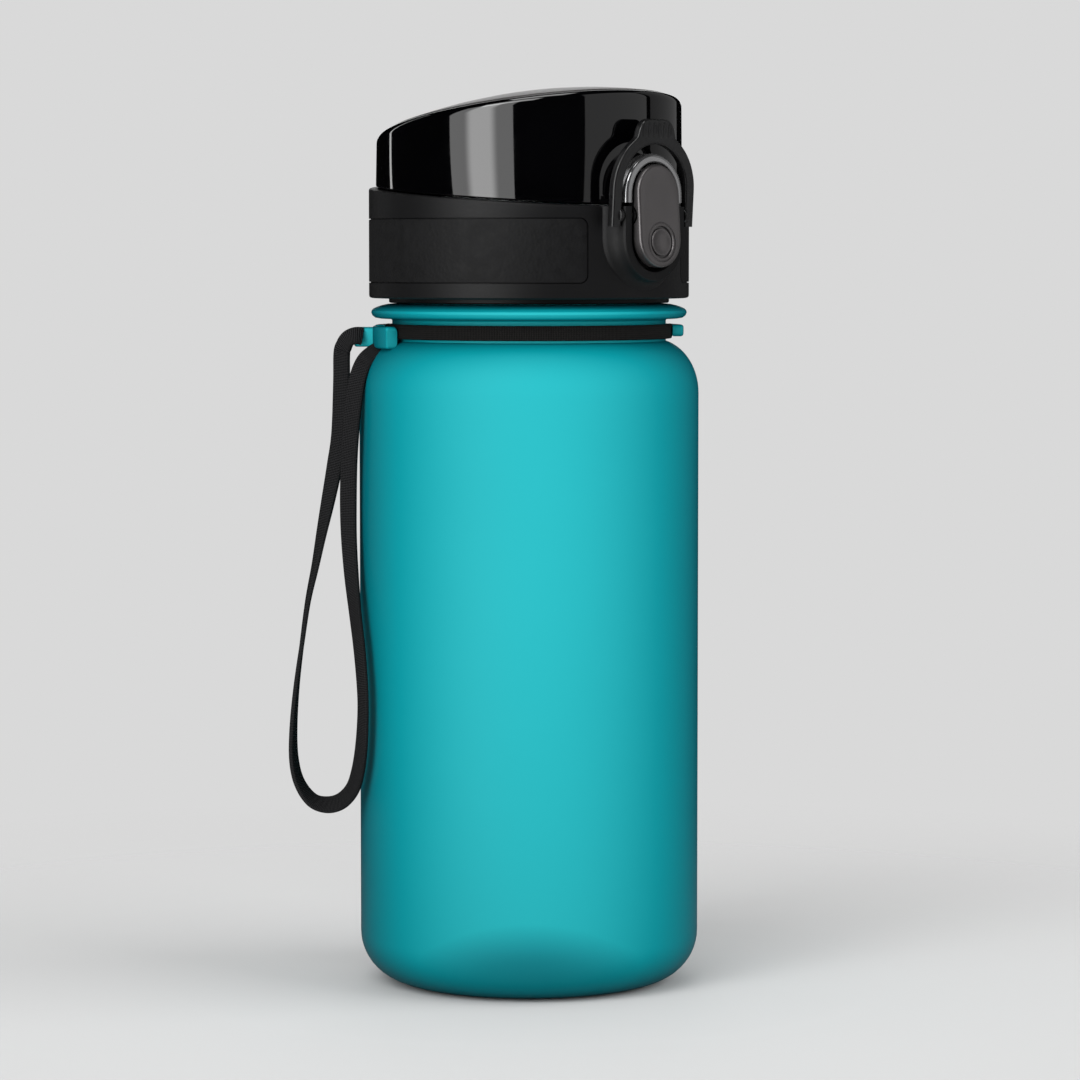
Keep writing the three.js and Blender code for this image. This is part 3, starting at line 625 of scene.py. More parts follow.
def bottle_profile():
    """The wall's closed section: base, side, shoulder, flange and threaded neck, and back down inside."""
    dome = lambda r, lift: (r, lift + BASE_DOME * (1 - (r / FOOT_INNER_RADIUS) ** 2))
    outer_dome = [dome(r, 0.0) for r in (0.0, 4, 8, 12, 15, 17.4)]
    inner_dome = [dome(r, WALL) for r in (17.4, 15, 12, 8, 4, 0.0)]
    base = (FOOT_OUTER_RADIUS, BASE_CORNER)
    shoulder = (SHOULDER_CENTRE, SIDE_TOP)
    neck_angle = math.degrees(math.acos((NECK_RADIUS - SHOULDER_CENTRE) / SHOULDER_ACROSS))
    inner_angle = 82.0
    side = [(BODY_RADIUS, z) for z in range(14, 113, 6)]
    inner_side = [(BODY_RADIUS - WALL, z) for z in range(110, 13, -6)]
    flange = [(NECK_RADIUS, 127.1), (26.5, 127.35), (27.2, 127.4), (28.6, 127.42), (29.4, 127.55),
              (29.95, 127.95), (30.2, 128.5), (30.1, 128.95), (29.75, 129.3), (29.1, 129.6), (28.2, 129.9),
              (27.2, 130.12), (26.4, 130.2)]
    return (
        outer_dome + [(18.7, 0.15), (19.6, 0.0), (21.2, 0.0)]
        + arc(base, BASE_CORNER, BASE_CORNER, -90, 0, 14)
        + side
        + arc(shoulder, SHOULDER_ACROSS, SHOULDER_RISE, 0, neck_angle, 14)
        + flange
        + [(THREADED_NECK_RADIUS, 130.2), (THREADED_NECK_RADIUS, 144.4), (THREADED_NECK_RADIUS - 0.2, 144.8),
           (THREADED_NECK_RADIUS - 0.6, NECK_TOP), (BORE_RADIUS + 0.5, NECK_TOP), (BORE_RADIUS + 0.1, 144.8),
           (BORE_RADIUS, 144.4), (BORE_RADIUS, 131.8), (BORE_RADIUS + 0.6, 130.4), (23.4, 128.4),
           (24.2, 127.2)]
        + arc(shoulder, SHOULDER_ACROSS - WALL, SHOULDER_RISE - WALL, inner_angle, 0, 12)
        + inner_side
        + arc(base, BASE_CORNER - WALL, BASE_CORNER - WALL, 0, -90, 12)
        + [(19.6, 2.05)] + inner_dome
    )


def lug_box(name, inner, outer, half, low, high, radius):
    """A box from one distance from the axis to another, turned to the lug's side."""
    made = rounded_box(name, (inner, outer), (-half, half), (low, high), radius)
    made.data.transform(Matrix.Rotation(math.radians(LUG_ANGLE), 4, "Z"))
    return made


def make_bottle():
    wall = lathe("bottle_wall", bottle_profile(), 192)
    ring_section = rounded_section((NECK_RADIUS - 0.3, HOOK_LOW), (HOOK_RADIUS, HOOK_TOP), 0.5)
    ring = sector("hook_ring", ring_section, HOOK_FROM, HOOK_TO, 2.0, 0.7)
    slot_inner, slot_low, slot_high = NECK_RADIUS - 0.05, 121.0, 128.0
    slot_section = [(slot_inner, slot_low), (SLOT_RADIUS, slot_low), (SLOT_RADIUS, slot_high),
                    (slot_inner, slot_high)]
    right_slot = sector("right_slot", slot_section, HOOK_FROM - 1, HOOK_FROM + HOOK_SLOT, 1.0)
    left_slot = sector("left_slot", slot_section, HOOK_TO - HOOK_SLOT, HOOK_TO + 1, 1.0)
    cut(ring, right_slot, left_slot)
    plate_section = rounded_section((PLATE_INNER, PLATE_LOW), (PLATE_OUTER, PLATE_TOP), 0.5)
    plate = sector("lug_plate", plate_section, PLATE_FROM, PLATE_TO, 1.5, 0.7)
    eye = lug_box("lug_eye", PLATE_OUTER - 1.0, LUG_REACH, EYE_HALF, EYE_LOW, EYE_TOP, 0.5)
    hole_reach, hole_half = LUG_REACH - EYE_BAR, EYE_HALF - EYE_SIDE
    cut(eye, lug_box("lug_hole", PLATE_OUTER - 0.1, hole_reach, hole_half, EYE_LOW - 3, EYE_TOP + 3, 0.0))
    add(ring, plate, eye)
    add(wall, ring)
    piece(wall, "bottle", TEAL, ["bottle_body"], 32)
    root, crest = THREADED_NECK_RADIUS - 0.2, THREADED_NECK_RADIUS + 1.0
    thread = thread_rib("neck_thread", root, crest, MALE_THREAD_START)
    piece(thread, "bottle", TEAL, ["bottle_body"])


def tape_uv(made, coordinate):
    """Lays a UV map on a tape: coordinate turns a point in mm into (along, across) in mm."""
    layer = made.data.uv_layers.new(name="tape")
    for loop in made.data.loops:
        point = made.data.vertices[loop.vertex_index].co / MM
        layer.data[loop.index].uv = coordinate(point)


def make_band():
    section = rounded_section((BAND_INNER, BAND_LOW), (BAND_OUTER, BAND_HIGH), 0.3, 3)
    band = sector("neck_webbing", section, BAND_FROM, BAND_TO, 1.5)
    tape_uv(band, lambda p: (math.atan2(p.y, p.x) % TAU * BAND_OUTER, p.z))
    piece(band, "bottle", BAND_WEB, ["neck_band"], 60)


# ---------------------------------------------------------------- strap
# (outwards along the lug, sideways, height, twist in degrees away from facing the lug's side)
STRAP_ROUTE = [
    (31.8, 3.6, 124.0, 30), (32.7, 3.8, 124.2, 34), (33.7, 3.6, 124.0, 36), (34.6, 3.1, 123.4, 34),
    (35.3, 2.5, 122.3, 32), (35.8, 1.9, 120.6, 32), (35.9, 1.2, 115, 31), (36.3, 0.6, 105.3, 30),
    (37.3, 0.6, 99, 37), (38.5, 1, 92.7, 49), (39.8, 1.4, 86.3, 64), (41, 1.9, 80, 75),
    (42.4, 2.5, 73.3, 83), (43.5, 3, 65.6, 87), (44.6, 3.6, 57, 93), (45.2, 4.2, 49, 100),
    (45.1, 4.8, 43, 106), (44, 5.6, 38.6, 112), (41.6, 6.4, 35.4, 124), (38.6, 7.6, 34.6, 138),
    (35.8, 9.6, 35.6, 138), (33.6, 11.8, 38.2, 132), (32.4, 13.6, 42, 128), (31.7, 14.9, 47, 123),
    (31.4, 15.3, 53, 118), (31.5, 15.1, 58, 119), (32.1, 13.7, 65, 122), (33, 11.4, 72, 125),
    (33.8, 9, 79, 135), (34.3, 7.6, 86, 142), (34.4, 7.4, 93, 148), (34.2, 8.0, 100, 146),
    (33.8, 8.8, 106, 147), (33.3, 9.2, 111, 150), (32.5, 9.0, 116, 150), (31.3, 8.0, 119.2, 148),
    (29.6, 6.8, 121.0, 140), (28.2, 5.6, 121.9, 130),
]
STRAP_WIDTH = 3.6
STRAP_THICKNESS = 0.9
STRAP_STEPS = 8


def smooth_route(points, steps):
    """Catmull-Rom through the points, with the twist carried along."""
    made = []
    for i in range(len(points) - 1):
        p = [Vector(points[max(0, min(len(points) - 1, i + k))]) for k in (-1, 0, 1, 2)]
        for k in range(steps):
            t = k / steps
            made.append(0.5 * (2 * p[1] + (p[2] - p[0]) * t + (2 * p[0] - 5 * p[1] + 4 * p[2] - p[3]) * t * t
                               + (3 * p[1] - p[0] - 3 * p[2] + p[3]) * t * t * t))
    made.append(Vector(points[-1]))
    return made


def make_strap():
    out = Vector((math.cos(math.radians(LUG_ANGLE)), math.sin(math.radians(LUG_ANGLE)), 0))
    side = Vector((-out.y, out.x, 0))
    route = smooth_route(STRAP_ROUTE, STRAP_STEPS)
    path = [out * p[0] + side * p[1] + Vector((0, 0, p[2])) for p in route]
    half_width, half_thickness = STRAP_WIDTH / 2, STRAP_THICKNESS / 2
    section = rounded_section((-half_width, -half_thickness), (half_width, half_thickness), 0.32, 3)
    rings, uvs, travelled = [], [], 0.0
    for i, p in enumerate(path):
        ahead = (path[min(i + 1, len(path) - 1)] - path[max(i - 1, 0)]).normalized()
        level = side.cross(ahead).normalized()
        depth = ahead.cross(level)
        twist = math.radians(route[i][3])
        width = math.cos(twist) * level + math.sin(twist) * depth
        thick = ahead.cross(width)
        rings.append([tuple(p + width * a + thick * b) for a, b in section])
        if i:
            travelled += (p - path[i - 1]).length
        uvs += [(travelled, a) for a, b in section]
    strap = loft("carry_strap", rings, closed=False)
    layer = strap.data.uv_layers.new(name="tape")
    for loop in strap.data.loops:
        layer.data[loop.index].uv = uvs[loop.vertex_index]
    piece(strap, "bottle", STRAP_WEB, ["strap_loop"], 60)


# ---------------------------------------------------------------- lid
def collar_surface(x):
    """The distance from the axis plane of the collar's front at x."""
    return math.sqrt(COLLAR_RADIUS ** 2 - x * x)


def boss_station(share, radius):
    """A slot outline between the collar's surface and the housing's front."""
    root = lambda x: collar_surface(x) - 0.5
    depth = lambda x: root(x) + share * (HOUSING_FRONT - root(x))
    return (depth, radius, HOUSING_LOW, BEZEL_CENTRE)


def pin_hole(y, z, radius, reach=12.0):
    return tube("hole", [(-reach, y, z), (reach, y, z)], radius, 32)


def extruded_across(name, outline, from_x, to_x):
    return loft(name, [[(x, y, z) for y, z in outline] for x in (from_x, to_x)], closed=False)


def hinge_ear(name, from_x, to_x):
    outline = [(EAR_ROOT, 147.5), (30.4, 147.5), (31.8, 149.6), (33.0, 151.8)]
    outline += arc((HINGE_Y, HINGE_Z), HINGE_RADIUS, HINGE_RADIUS, -8, 180, 18) + [(EAR_ROOT, HINGE_Z)]
    return extruded_across(name, outline, from_x, to_x)


def make_collar():
    fillet = 0.45
    profile = [(27.1, COLLAR_BOTTOM, 0.0), (30.0, COLLAR_BOTTOM, 0.0), (30.35, COLLAR_BOTTOM + 0.1, 0.0),
               (30.55, COLLAR_BOTTOM + 0.3, 0.0), (COLLAR_RADIUS, COLLAR_BOTTOM + 0.6, 0.0),
               (COLLAR_RADIUS, 134.0, 0.0), (COLLAR_RADIUS, 146.6, 0.0),
               (COLLAR_RADIUS, RIM - fillet, RIM_SLOPE), (COLLAR_RADIUS - 0.12, RIM - 0.15, RIM_SLOPE),
               (COLLAR_RADIUS - fillet, RIM, RIM_SLOPE), (COLLAR_INNER + 0.2, RIM, RIM_SLOPE),
               (COLLAR_INNER, RIM - 0.2, RIM_SLOPE), (COLLAR_INNER, 132.8, 0.0), (27.1, 132.8, 0.0)]
    collar = lathe("collar", profile, 180)
    seat = sector("seat", rounded_section((GRIP_SEAT, GRIP_LOW), (COLLAR_RADIUS + 1.5, GRIP_HIGH), 0.05, 1),
                  -90 + GRIP_FREE, 270 - GRIP_FREE, 2.0, 1.6)
    boss_shape = ((0.0, 9.9), (0.16, 9.75), (0.26, 9.3), (0.38, 8.8), (0.52, 8.45), (0.68, 8.22),
                  (0.84, 8.1), (0.93, 8.0), (0.98, 7.85), (1.0, 7.6))
    boss = pill_loft("boss", [boss_station(share, radius) for share, radius in boss_shape])
    cut(boss, rounded_box("split", (-14, 14), (-40, -20), (HOUSING_SPLIT, 170.0), 0.0))
    pocket_shape = ((POCKET_FLOOR, 0.0), (HOUSING_FRONT - 0.35, 0.0), (HOUSING_FRONT - 0.1, 0.12),
                    (HOUSING_FRONT + 0.15, 0.4))
    pocket_low, pocket_high = HOUSING_LOW - 0.1, 160.0
    pocket = pill_loft("pocket", [(depth, POCKET_RADIUS + flare, pocket_low, pocket_high)
                                  for depth, flare in pocket_shape])
    cut(collar, seat)
    add(collar, boss, hinge_ear("ear_right", EAR_INNER, EAR_OUTER),
        hinge_ear("ear_left", -EAR_OUTER, -EAR_INNER))
    cut(collar, pocket, rounded_box("notch", (-4.6, 4.6), (26.0, 34.0), (151.9, 160.0), 0.0),
        pin_hole(PIVOT_Y, PIVOT_Z, PIVOT_BORE), pin_hole(HINGE_Y, HINGE_Z, HINGE_BORE))
    piece(collar, "lid", MATTE_BLACK, ["collar_shell"], 30)

    grip_low, grip_high = GRIP_LOW + GRIP_GAP, GRIP_HIGH - GRIP_GAP
    panel = rounded_section((GRIP_SEAT - 0.2, grip_low), (COLLAR_RADIUS, grip_high), 0.16, 3)
    grip = sector("grip_panel", panel, -90 + GRIP_FREE + 0.35, 270 - GRIP_FREE - 0.35, 1.5, 1.45)
    piece(grip, "lid", GRIP, ["grip_band"], 50)


def make_lid_inside():
    core = lathe("lid_inner", [
        (24.7, 130.5), (24.9, 130.4), (26.6, 130.4), (26.8, 130.6), (26.8, 145.4), (27.3, 146.2),
        (28.2, 146.7), (28.2, 147.9), (28.0, 148.1), (11.8, 148.1), (11.5, 147.8), (11.5, 146.8),
        (11.7, 146.6), (24.4, 146.6), (24.7, 146.3)])
    piece(core, "lid", MATTE_BLACK, ["lid_core"], 30)
    thread = thread_rib("lid_thread", 24.9, 23.5, MALE_THREAD_START - THREAD_LEAD / 2)
    piece(thread, "lid", MATTE_BLACK, ["lid_core"])
    gasket = lathe("neck_ring_seal", rounded_section((21.4, 145.3), (24.3, 146.3), 0.35))
    piece(gasket, "gasket", SILICONE, ["neck_gasket"])
    seal = lathe("spout_ring_seal", rounded_section((13.5, 148.4), (16.6, 149.1), 0.3))
    piece(seal, "lid", SILICONE, ["spout_gasket"])
    spout = lathe("drinking_spout", [
        (13.0, 149.5), (13.1, 149.4), (17.0, 149.4), (17.2, 149.6), (17.2, 150.4), (17.0, 150.6),
        (15.9, 150.75), (15.5, 151.0), (15.3, 151.5), (15.0, 156.0), (14.9, 156.5), (14.65, 156.85),
        (14.25, 157.0), (13.6, 157.0), (13.25, 156.85), (13.05, 156.5), (13.0, 156.0)], 128)
    piece(spout, "lid", SPOUT_PLASTIC, ["spout"], 50)


# ---------------------------------------------------------------- cap
def cap_top_height(radius, drop=0.0):
    """The height of the dome at y = 0, less a drop."""
    return CAP_EDGE + CAP_RISE * (1 - (radius / CAP_SPAN) ** 2) - drop


def make_cap():
    top = lambda r, drop=0.0: (r, cap_top_height(r, drop), CAP_SLOPE)
    low = RIM + GAP
    edge_across, edge_up = 1.15, 1.5
    edge_centre = (CAP_EDGE_RADIUS - edge_across, cap_top_height(CAP_EDGE_RADIUS) - 1.35)
    fillet = [(r, z, CAP_SLOPE) for r, z in arc(edge_centre, edge_across, edge_up, 0, 86, 9)]
    inner = CAP_RADIUS - CAP_WALL
    profile = (
        [(CAP_RADIUS - 0.35, low, RIM_SLOPE), (CAP_RADIUS - 0.1, low + 0.08, RIM_SLOPE),
         (CAP_RADIUS, low + 0.3, RIM_SLOPE)]
        + fillet + [top(27.95, 0.12), top(27.9, PANEL_SEAT)]
        + [top(r, PANEL_SEAT) for r in (24, 18, 12, 6, 0.0)]
        + [top(r, CAP_CEILING) for r in (0.0, 6, 12, 18, 24, 26.6)]
        + [(inner - 0.3, cap_top_height(27.0, CAP_CEILING + 0.3), CAP_SLOPE),
           (inner, cap_top_height(27.0, CAP_CEILING + 1.0), CAP_SLOPE), (inner, low + 0.2, RIM_SLOPE),
           (inner + 0.2, low, RIM_SLOPE)])
    shell = lathe("flip_cap", profile, 200)
    piece(shell, "cap", GLOSS_BLACK, ["cap_shell"], 30)

    panel_profile = (
        [top(r) for r in (0.0, 5, 10, 15, 20, 24, 26.8)]
        + [top(27.3, 0.03), top(27.5, 0.12), top(PANEL_RADIUS, 0.3)]
        + [top(r, PANEL_THICKNESS) for r in (PANEL_RADIUS, 20, 10, 0.0)])
    panel = lathe("cap_top_panel", panel_profile, 200)
    piece(panel, "cap", SATIN_TOP, ["cap_top"], 45)

    outline = [(KNUCKLE_ROOT, HINGE_Z), (KNUCKLE_ROOT, HINGE_Z + HINGE_RADIUS)]
    outline += arc((HINGE_Y, HINGE_Z), HINGE_RADIUS, HINGE_RADIUS, 90, -180, 22)
    for name, from_x, to_x in (("knuckle_right", KNUCKLE_INNER, KNUCKLE_OUTER),
                               ("knuckle_left", -KNUCKLE_OUTER, -KNUCKLE_INNER)):
        knuckle = extruded_across(name, outline, from_x, to_x)
        cut(knuckle, pin_hole(HINGE_Y, HINGE_Z, HINGE_BORE))
        piece(soften(knuckle, 0.2), "cap", GLOSS_BLACK, ["cap_shell"], 30)
    catch = rounded_box("cap_catch", (-3, 3), (-30.3, -28.4), (150.6, 152.2), 0.25)
    piece(catch, "cap", GLOSS_BLACK, ["cap_shell"])

    liner = lathe("cap_inner_plate", [
        top(0.0, 1.9 + CAP_RISE), (25.5, 163.4, CAP_SLOPE), (25.8, 163.1, CAP_SLOPE),
        (25.8, 162.3, CAP_SLOPE), (25.5, 162.0, CAP_SLOPE), (13.4, 162.0, CAP_SLOPE),
        (13.2, 161.8, CAP_SLOPE), (13.2, 159.5), (13.0, 159.3), (0.0, 159.3)], 128)
    piece(liner, "cap", MATTE_BLACK, ["cap_liner"], 30)
    seal = lathe("spout_plug", [
        (0.0, 155.6), (10.9, 155.6), (11.3, 155.75), (11.5, 156.1), (12.1, 157.1), (12.35, 157.3),
        (14.5, 157.3), (14.75, 157.45), (14.8, 157.7), (14.8, 158.7), (14.6, 159.0), (0.0, 159.0)], 128)
    piece(seal, "cap", SILICONE, ["cap_seal"], 45)


def make_hardware():
    hinge = rod_across("rear_pin", HINGE_Y, HINGE_Z, HINGE_PIN, -HINGE_PIN_REACH, HINGE_PIN_REACH)
    piece(hinge, "lid", STEEL, ["hinge_pin"])
    pivot = rod_across("cross_pin", PIVOT_Y, PIVOT_Z, PIVOT_PIN, -PIVOT_PIN_REACH, PIVOT_PIN_REACH)
    piece(pivot, "lid", STEEL, ["pivot_pin"])
    for name, look in (("cap_spring", STEEL), ("button_spring", STEEL), ("latch_lever", MATTE_BLACK)):
        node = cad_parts[name]
        node.data.materials.clear()
        node.data.materials.append(look)
        if look == STEEL:
            rounder = node.modifiers.new("rounder", "SUBSURF")
            rounder.levels = 2
            rounder.render_levels = 2


# ---------------------------------------------------------------- button housing
def make_bezel():
    """The polished arch over the button: a section swept up one leg, round and down the other."""
    legs = [BEZEL_BOTTOM, BEZEL_BOTTOM + 0.5, BEZEL_BOTTOM + 1.0]
    stations = [((1, 0), z) for z in legs]
    angles = [math.pi * i / 48 for i in range(49)]
    stations += [((math.cos(a), math.sin(a)), BEZEL_CENTRE) for a in angles]
    stations += [((-1, 0), z) for z in reversed(legs)]
    outer_round, inner_round = 0.95, 0.3
    outer_centre = (BEZEL_RADIUS - outer_round, HOUSING_FRONT - outer_round)
    inner_centre = (POCKET_RADIUS + inner_round, HOUSING_FRONT - inner_round)
    front = (arc(outer_centre, outer_round, outer_round, 0, 90, 8)
             + arc(inner_centre, inner_round, inner_round, 90, 180, 4))
    rings = []
    for (c, s), z in stations:
        back = BEZEL_NOTCH_BACK if abs(BEZEL_RADIUS * c) < NOTCH_HALF else BEZEL_BACK
        section = [(POCKET_RADIUS, back), (BEZEL_RADIUS, back)] + front
        rings.append([(r * c, -d, z + r * s) for r, d in section])
    bezel = loft("button_arch", rings, closed=False)
    piece(bezel, "lid", BEZEL_METAL, ["button_bezel"], 30)


def button_front(z):
    """The distance from the axis plane of the button's sloping front at a height."""
    return 33.85 + (158.0 - z) * 1.5 / 23.0


def pill_reach(angle, radius):
    """How far the button's outline lies from the dimple's centre in a direction."""
    c, s = math.cos(angle), math.sin(angle)
    to_side = radius / max(abs(c), TINY)
    side_z = DIMPLE_Z + to_side * s
    if BUTTON_LOW <= side_z <= BUTTON_HIGH:
        return to_side
    centre = (BUTTON_HIGH if side_z > BUTTON_HIGH else BUTTON_LOW) - DIMPLE_Z
    root = radius ** 2 - (centre * c) ** 2
    return centre * s + math.sqrt(max(root, 0.0))


def make_button():
    steps = 112
    dimple = [(0.0, -0.62), (0.5, -0.60), (1.0, -0.52), (1.5, -0.38), (1.9, -0.20), (2.2, -0.03),
              (2.35, 0.02), (2.5, 0.0), (2.6, -0.12), (2.66, -0.4), (2.86, -0.4), (2.93, -0.12),
              (3.02, 0.04), (3.2, 0.1), (3.38, 0.06), (3.52, -0.06), (3.62, -0.1), (DIMPLE_EDGE, 0.0)]
    rim = ((0.7, 0.0), (0.42, 0.05), (0.2, 0.18), (0.05, 0.38), (0.0, 0.62), (0.0, None))
    rings = []
    angles = [TAU * k / steps for k in range(steps)]
    for r, lift in dimple:
        rings.append([(r * math.cos(a), -(button_front(DIMPLE_Z + r * math.sin(a)) + lift),
                       DIMPLE_Z + r * math.sin(a)) for a in angles])
    for share in (0.25, 0.5, 0.75):
        ring = []
        for a in angles:
            r = DIMPLE_EDGE + share * (pill_reach(a, BUTTON_RADIUS - rim[0][0]) - DIMPLE_EDGE)
            z = DIMPLE_Z + r * math.sin(a)
            ring.append((r * math.cos(a), -button_front(z), z))
        rings.append(ring)
    for inset, drop in rim:
        ring = []
        for a in angles:
            r = pill_reach(a, BUTTON_RADIUS - inset)
            z = DIMPLE_Z + r * math.sin(a)
            depth = BUTTON_BACK if drop is None else button_front(z) - drop
            ring.append((r * math.cos(a), -depth, z))
        rings.append(ring)
    face = loft("push_button", rings, closed=False)
    groove = tube("groove", [(-8, PIVOT_Y, PIVOT_Z), (8, PIVOT_Y, PIVOT_Z)], BUTTON_GROOVE, 40)
    cut(face, groove)
    piece(face, "button", BUTTON_METAL, ["button_face"], 35)


def bail_outer_reach(angle):
    """The bail's outer outline from the arch's centre: a half circle with a rounded thumb tab on top."""
    c, s = math.cos(angle), math.sin(angle)
    tab_height = BAIL_TAB_TOP - BAIL_ARCH
    box_reach = min(BAIL_TAB_HALF / max(abs(c), TINY), tab_height / max(s, TINY))
    cx, cz = BAIL_TAB_HALF - BAIL_TAB_CORNER, tab_height - BAIL_TAB_CORNER
    along = abs(c) * cx + s * cz
    inside = BAIL_TAB_CORNER ** 2 - (cx ** 2 + cz ** 2 - along ** 2)
    if inside > 0:
        px, pz = (along + math.sqrt(inside)) * abs(c), (along + math.sqrt(inside)) * s
        if px > cx and pz > cz:
            box_reach = along + math.sqrt(inside)
    gap = box_reach - BAIL_OUTER
    if gap > BAIL_TAB_BLEND:
        return box_reach
    if gap < -BAIL_TAB_BLEND:
        return BAIL_OUTER
    return BAIL_OUTER + (gap + BAIL_TAB_BLEND) ** 2 / (4 * BAIL_TAB_BLEND)


def clamped(value):
    return max(0.0, min(1.0, value))


def tab_rib_depth(x, height):
    """How deep the thumb tab's upright grooves are at a point of its front."""
    on_tab = clamped((height - 161.3) / 0.8) * clamped((4.3 - abs(x)) / 0.6)
    on_tab *= clamped((BAIL_TAB_TOP - 0.6 - height) / 0.4)
    rib = 0.5 + 0.5 * math.cos(TAU * x / BAIL_RIB_PITCH)
    return BAIL_RIB_DEPTH * on_tab * (1 - rib)


def make_bail():
    lean = Matrix.Translation((0, PIVOT_Y, PIVOT_Z)) @ Matrix.Rotation(BAIL_LEAN, 4, "X")
    lean = lean @ Matrix.Translation((0, -PIVOT_Y, -PIVOT_Z))
    legs = [BAIL_FOOT + (BAIL_ARCH - BAIL_FOOT) * i / 8 for i in range(8)]
    stations = [((1.0, 0.0), z, BAIL_OUTER) for z in legs]
    for i in range(121):
        a = math.pi * i / 120
        stations.append(((math.cos(a), math.sin(a)), BAIL_ARCH, bail_outer_reach(a)))
    stations += [((-1.0, 0.0), z, BAIL_OUTER) for z in reversed(legs)]
    rings = []
    radius, columns = 0.42, 14
    for (c, s), z, outer in stations:
        section = arc((outer - radius, BAIL_BACK + radius), radius, radius, -90, 0, 4)
        section += arc((outer - radius, BAIL_FRONT - radius), radius, radius, 0, 90, 4)
        front = [(outer - radius - (outer - BAIL_INNER - 2 * radius) * k / columns, BAIL_FRONT)
                 for k in range(1, columns)]
        section += front
        section += arc((BAIL_INNER + radius, BAIL_FRONT - radius), radius, radius, 90, 180, 4)
        section += arc((BAIL_INNER + radius, BAIL_BACK + radius), radius, radius, 180, 270, 4)
        ring = []
        for r, d in section:
            x, height = r * c, z + r * s
            sunk = tab_rib_depth(x, height) if d > BAIL_FRONT - 0.1 else 0.0
            ring.append(tuple(lean @ Vector((x, -(d - sunk), height))))
        rings.append(ring)
    bail = loft("lock_hoop", rings, closed=False)
    for from_x, to_x in ((HUB_INNER, HUB_OUTER), (-HUB_OUTER, -HUB_INNER)):
        add(bail, rod_across("hub", PIVOT_Y, PIVOT_Z, HUB_RADIUS, from_x, to_x, 0.15))
    cut(bail, pin_hole(PIVOT_Y, PIVOT_Z, BAIL_BORE, 10.5))
    piece(bail, "bail", HOOP_BLACK, ["lock_bail"], 40)


make_bottle()
make_band()
make_strap()
make_collar()
make_lid_inside()
make_cap()
make_hardware()
make_bezel()
make_button()
make_bail()


# ---------------------------------------------------------------- studio
FLOOR_PALE = 0.50
FLOOR_HALF = 900
FLOOR_DROP = 0.05
FADE_NEAR, FADE_FAR = 0.07, 0.26
BACKDROP = 0.694
GLOSSY_BACKDROP = 0.002


def make_floor():
    """A pale floor that fades into the backdrop away from the bottle."""
    corners = ((-1, -1), (1, -1), (1, 1), (-1, 1))
    verts = [(x * FLOOR_HALF, y * FLOOR_HALF, -FLOOR_DROP) for x, y in corners]
    floor = make_object("floor", verts, [(0, 1, 2, 3)])
    look, tree, shader = node_tree("pale_floor")
    shader.inputs["Base Color"].default_value = (FLOOR_PALE, FLOOR_PALE, FLOOR_PALE, 1)
    shader.inputs["Roughness"].default_value = 0.9
    shader.inputs["Specular IOR Level"].default_value = 0.1
    distance = tree.nodes.new("ShaderNodeVectorMath")
    distance.operation = "LENGTH"
    tree.links.new(coordinates(tree), distance.inputs[0])
    fade = ranged(tree, distance.outputs["Value"], 0.0, 1.0, FADE_NEAR, FADE_FAR)
    clear = tree.nodes.new("ShaderNodeBsdfTransparent")
    mixed_shaders(tree, fade, shader.outputs["BSDF"], clear.outputs["BSDF"])
    floor.data.materials.append(look)


def softbox(name, angle, distance, height, size, radiance, aim_height=0.09, core=0.0, diffuse=True,
            glossy=True):
    """A soft area light at an angle round the bottle, in degrees from +X. core dims its sides."""
    data = bpy.data.lights.new(name, "AREA")
    data.shape = "RECTANGLE"
    data.size, data.size_y = size
    data.energy = radiance * math.pi * size[0] * size[1]
    light = bpy.data.objects.new(name, data)
    bpy.context.scene.collection.objects.link(light)
    a = math.radians(angle)
    light.location = Vector((distance * math.cos(a), distance * math.sin(a), height))
    light.rotation_euler = (Vector((0, 0, aim_height)) - light.location).to_track_quat("-Z", "Y").to_euler()
    light.visible_camera = False
    light.visible_diffuse = diffuse
    light.visible_glossy = glossy
    if core:
        dim_sides(data, core)


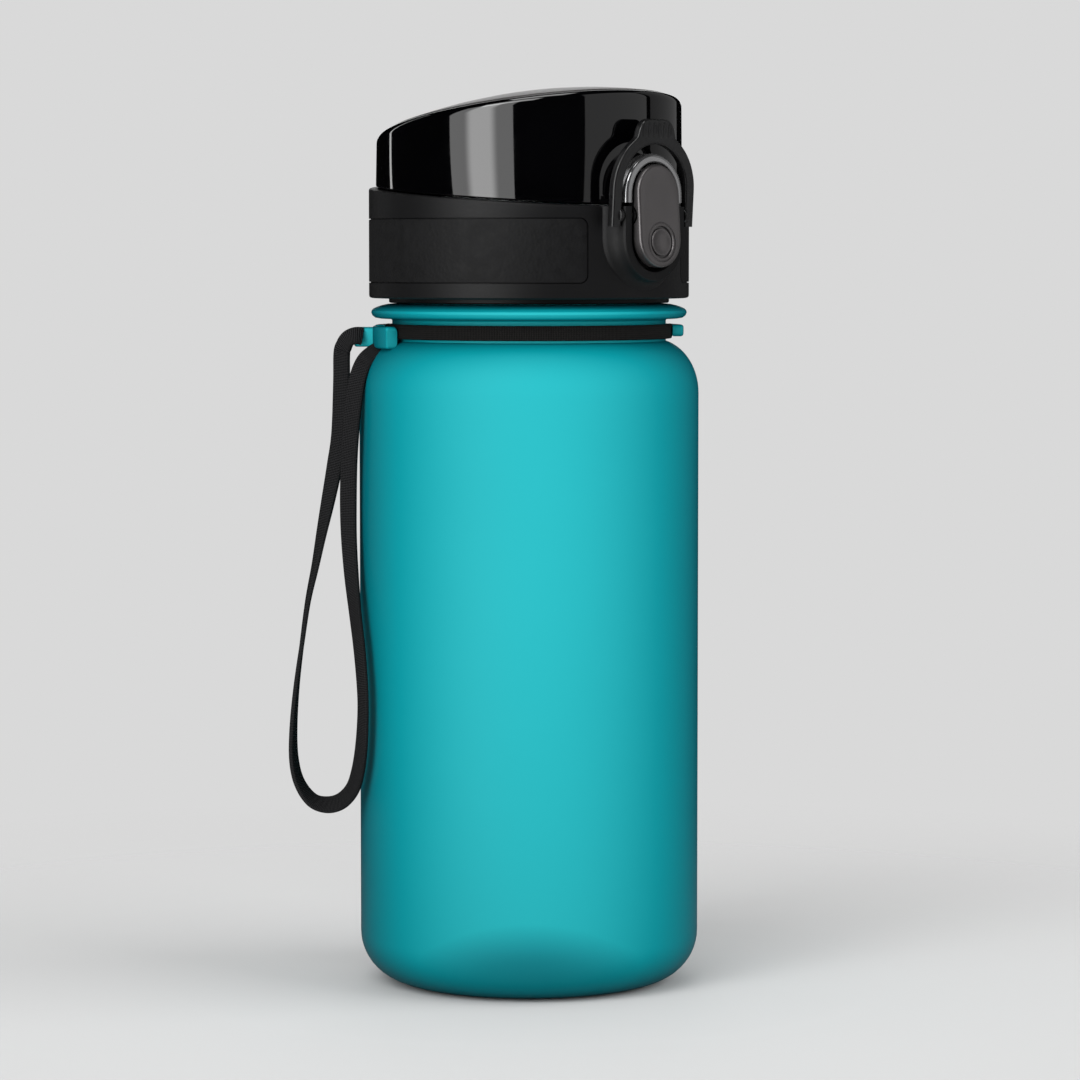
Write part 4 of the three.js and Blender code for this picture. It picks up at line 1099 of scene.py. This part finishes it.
def dim_sides(data, core):
    """Lets a light's strength fall from its middle to the share core at its sides."""
    data.use_nodes = True
    tree = data.node_tree
    place = tree.nodes.new("ShaderNodeSeparateXYZ")
    tree.links.new(tree.nodes.new("ShaderNodeNewGeometry").outputs["Parametric"], place.inputs[0])
    offset = tree.nodes.new("ShaderNodeMath")
    offset.operation = "SUBTRACT"
    offset.inputs[1].default_value = 0.5
    tree.links.new(place.outputs["X"], offset.inputs[0])
    away = tree.nodes.new("ShaderNodeMath")
    away.operation = "ABSOLUTE"
    tree.links.new(offset.outputs[0], away.inputs[0])
    fall = tree.nodes.new("ShaderNodeMapRange")
    fall.interpolation_type = "SMOOTHSTEP"
    fall.inputs["From Min"].default_value = 0.12
    fall.inputs["From Max"].default_value = 0.26
    fall.inputs["To Min"].default_value = 1.0
    fall.inputs["To Max"].default_value = core
    tree.links.new(away.outputs[0], fall.inputs["Value"])
    tree.links.new(fall.outputs["Result"], tree.nodes["Emission"].inputs["Strength"])


def make_world():
    """Pale to the eye and dim to reflections, so that only the softboxes show in gloss."""
    world = bpy.data.worlds.new("studio")
    bpy.context.scene.world = world
    world.use_nodes = True
    tree = world.node_tree
    background = tree.nodes["Background"]
    path = tree.nodes.new("ShaderNodeLightPath")
    colour = mixed(tree, path.outputs["Is Glossy Ray"], (BACKDROP,) * 3, (GLOSSY_BACKDROP,) * 3)
    tree.links.new(colour, background.inputs["Color"])


make_floor()
make_world()
softbox("left_softbox", 188.0, 1.25, 0.30, (1.15, 2.0), 6.0, 0.30, core=0.38)
softbox("right_softbox", 295.0, 1.25, 0.30, (1.35, 2.0), 0.5, 0.30)
softbox("high_softbox", 203.0, 0.75, 0.85, (0.70, 0.35), 5.0, 0.15)
softbox("back_softbox", 45.0, 0.9, 0.45, (0.35, 0.5), 1.4, 0.16)
softbox("edge_strip", 97.0, 1.1, 0.30, (0.06, 1.6), 2.5, 0.30, diffuse=False)
softbox("right_fill", 350.0, 1.1, 0.30, (0.9, 1.8), 0.22, 0.30, diffuse=False)
softbox("diffuse_fill", 298.0, 1.15, 0.40, (1.2, 1.6), 3.0, 0.20, glossy=False)
softbox("overhead", 225.0, 0.15, 1.0, (0.45, 0.45), 4.0, 0.15, diffuse=False)
bpy.context.scene.view_settings.view_transform = "Standard"
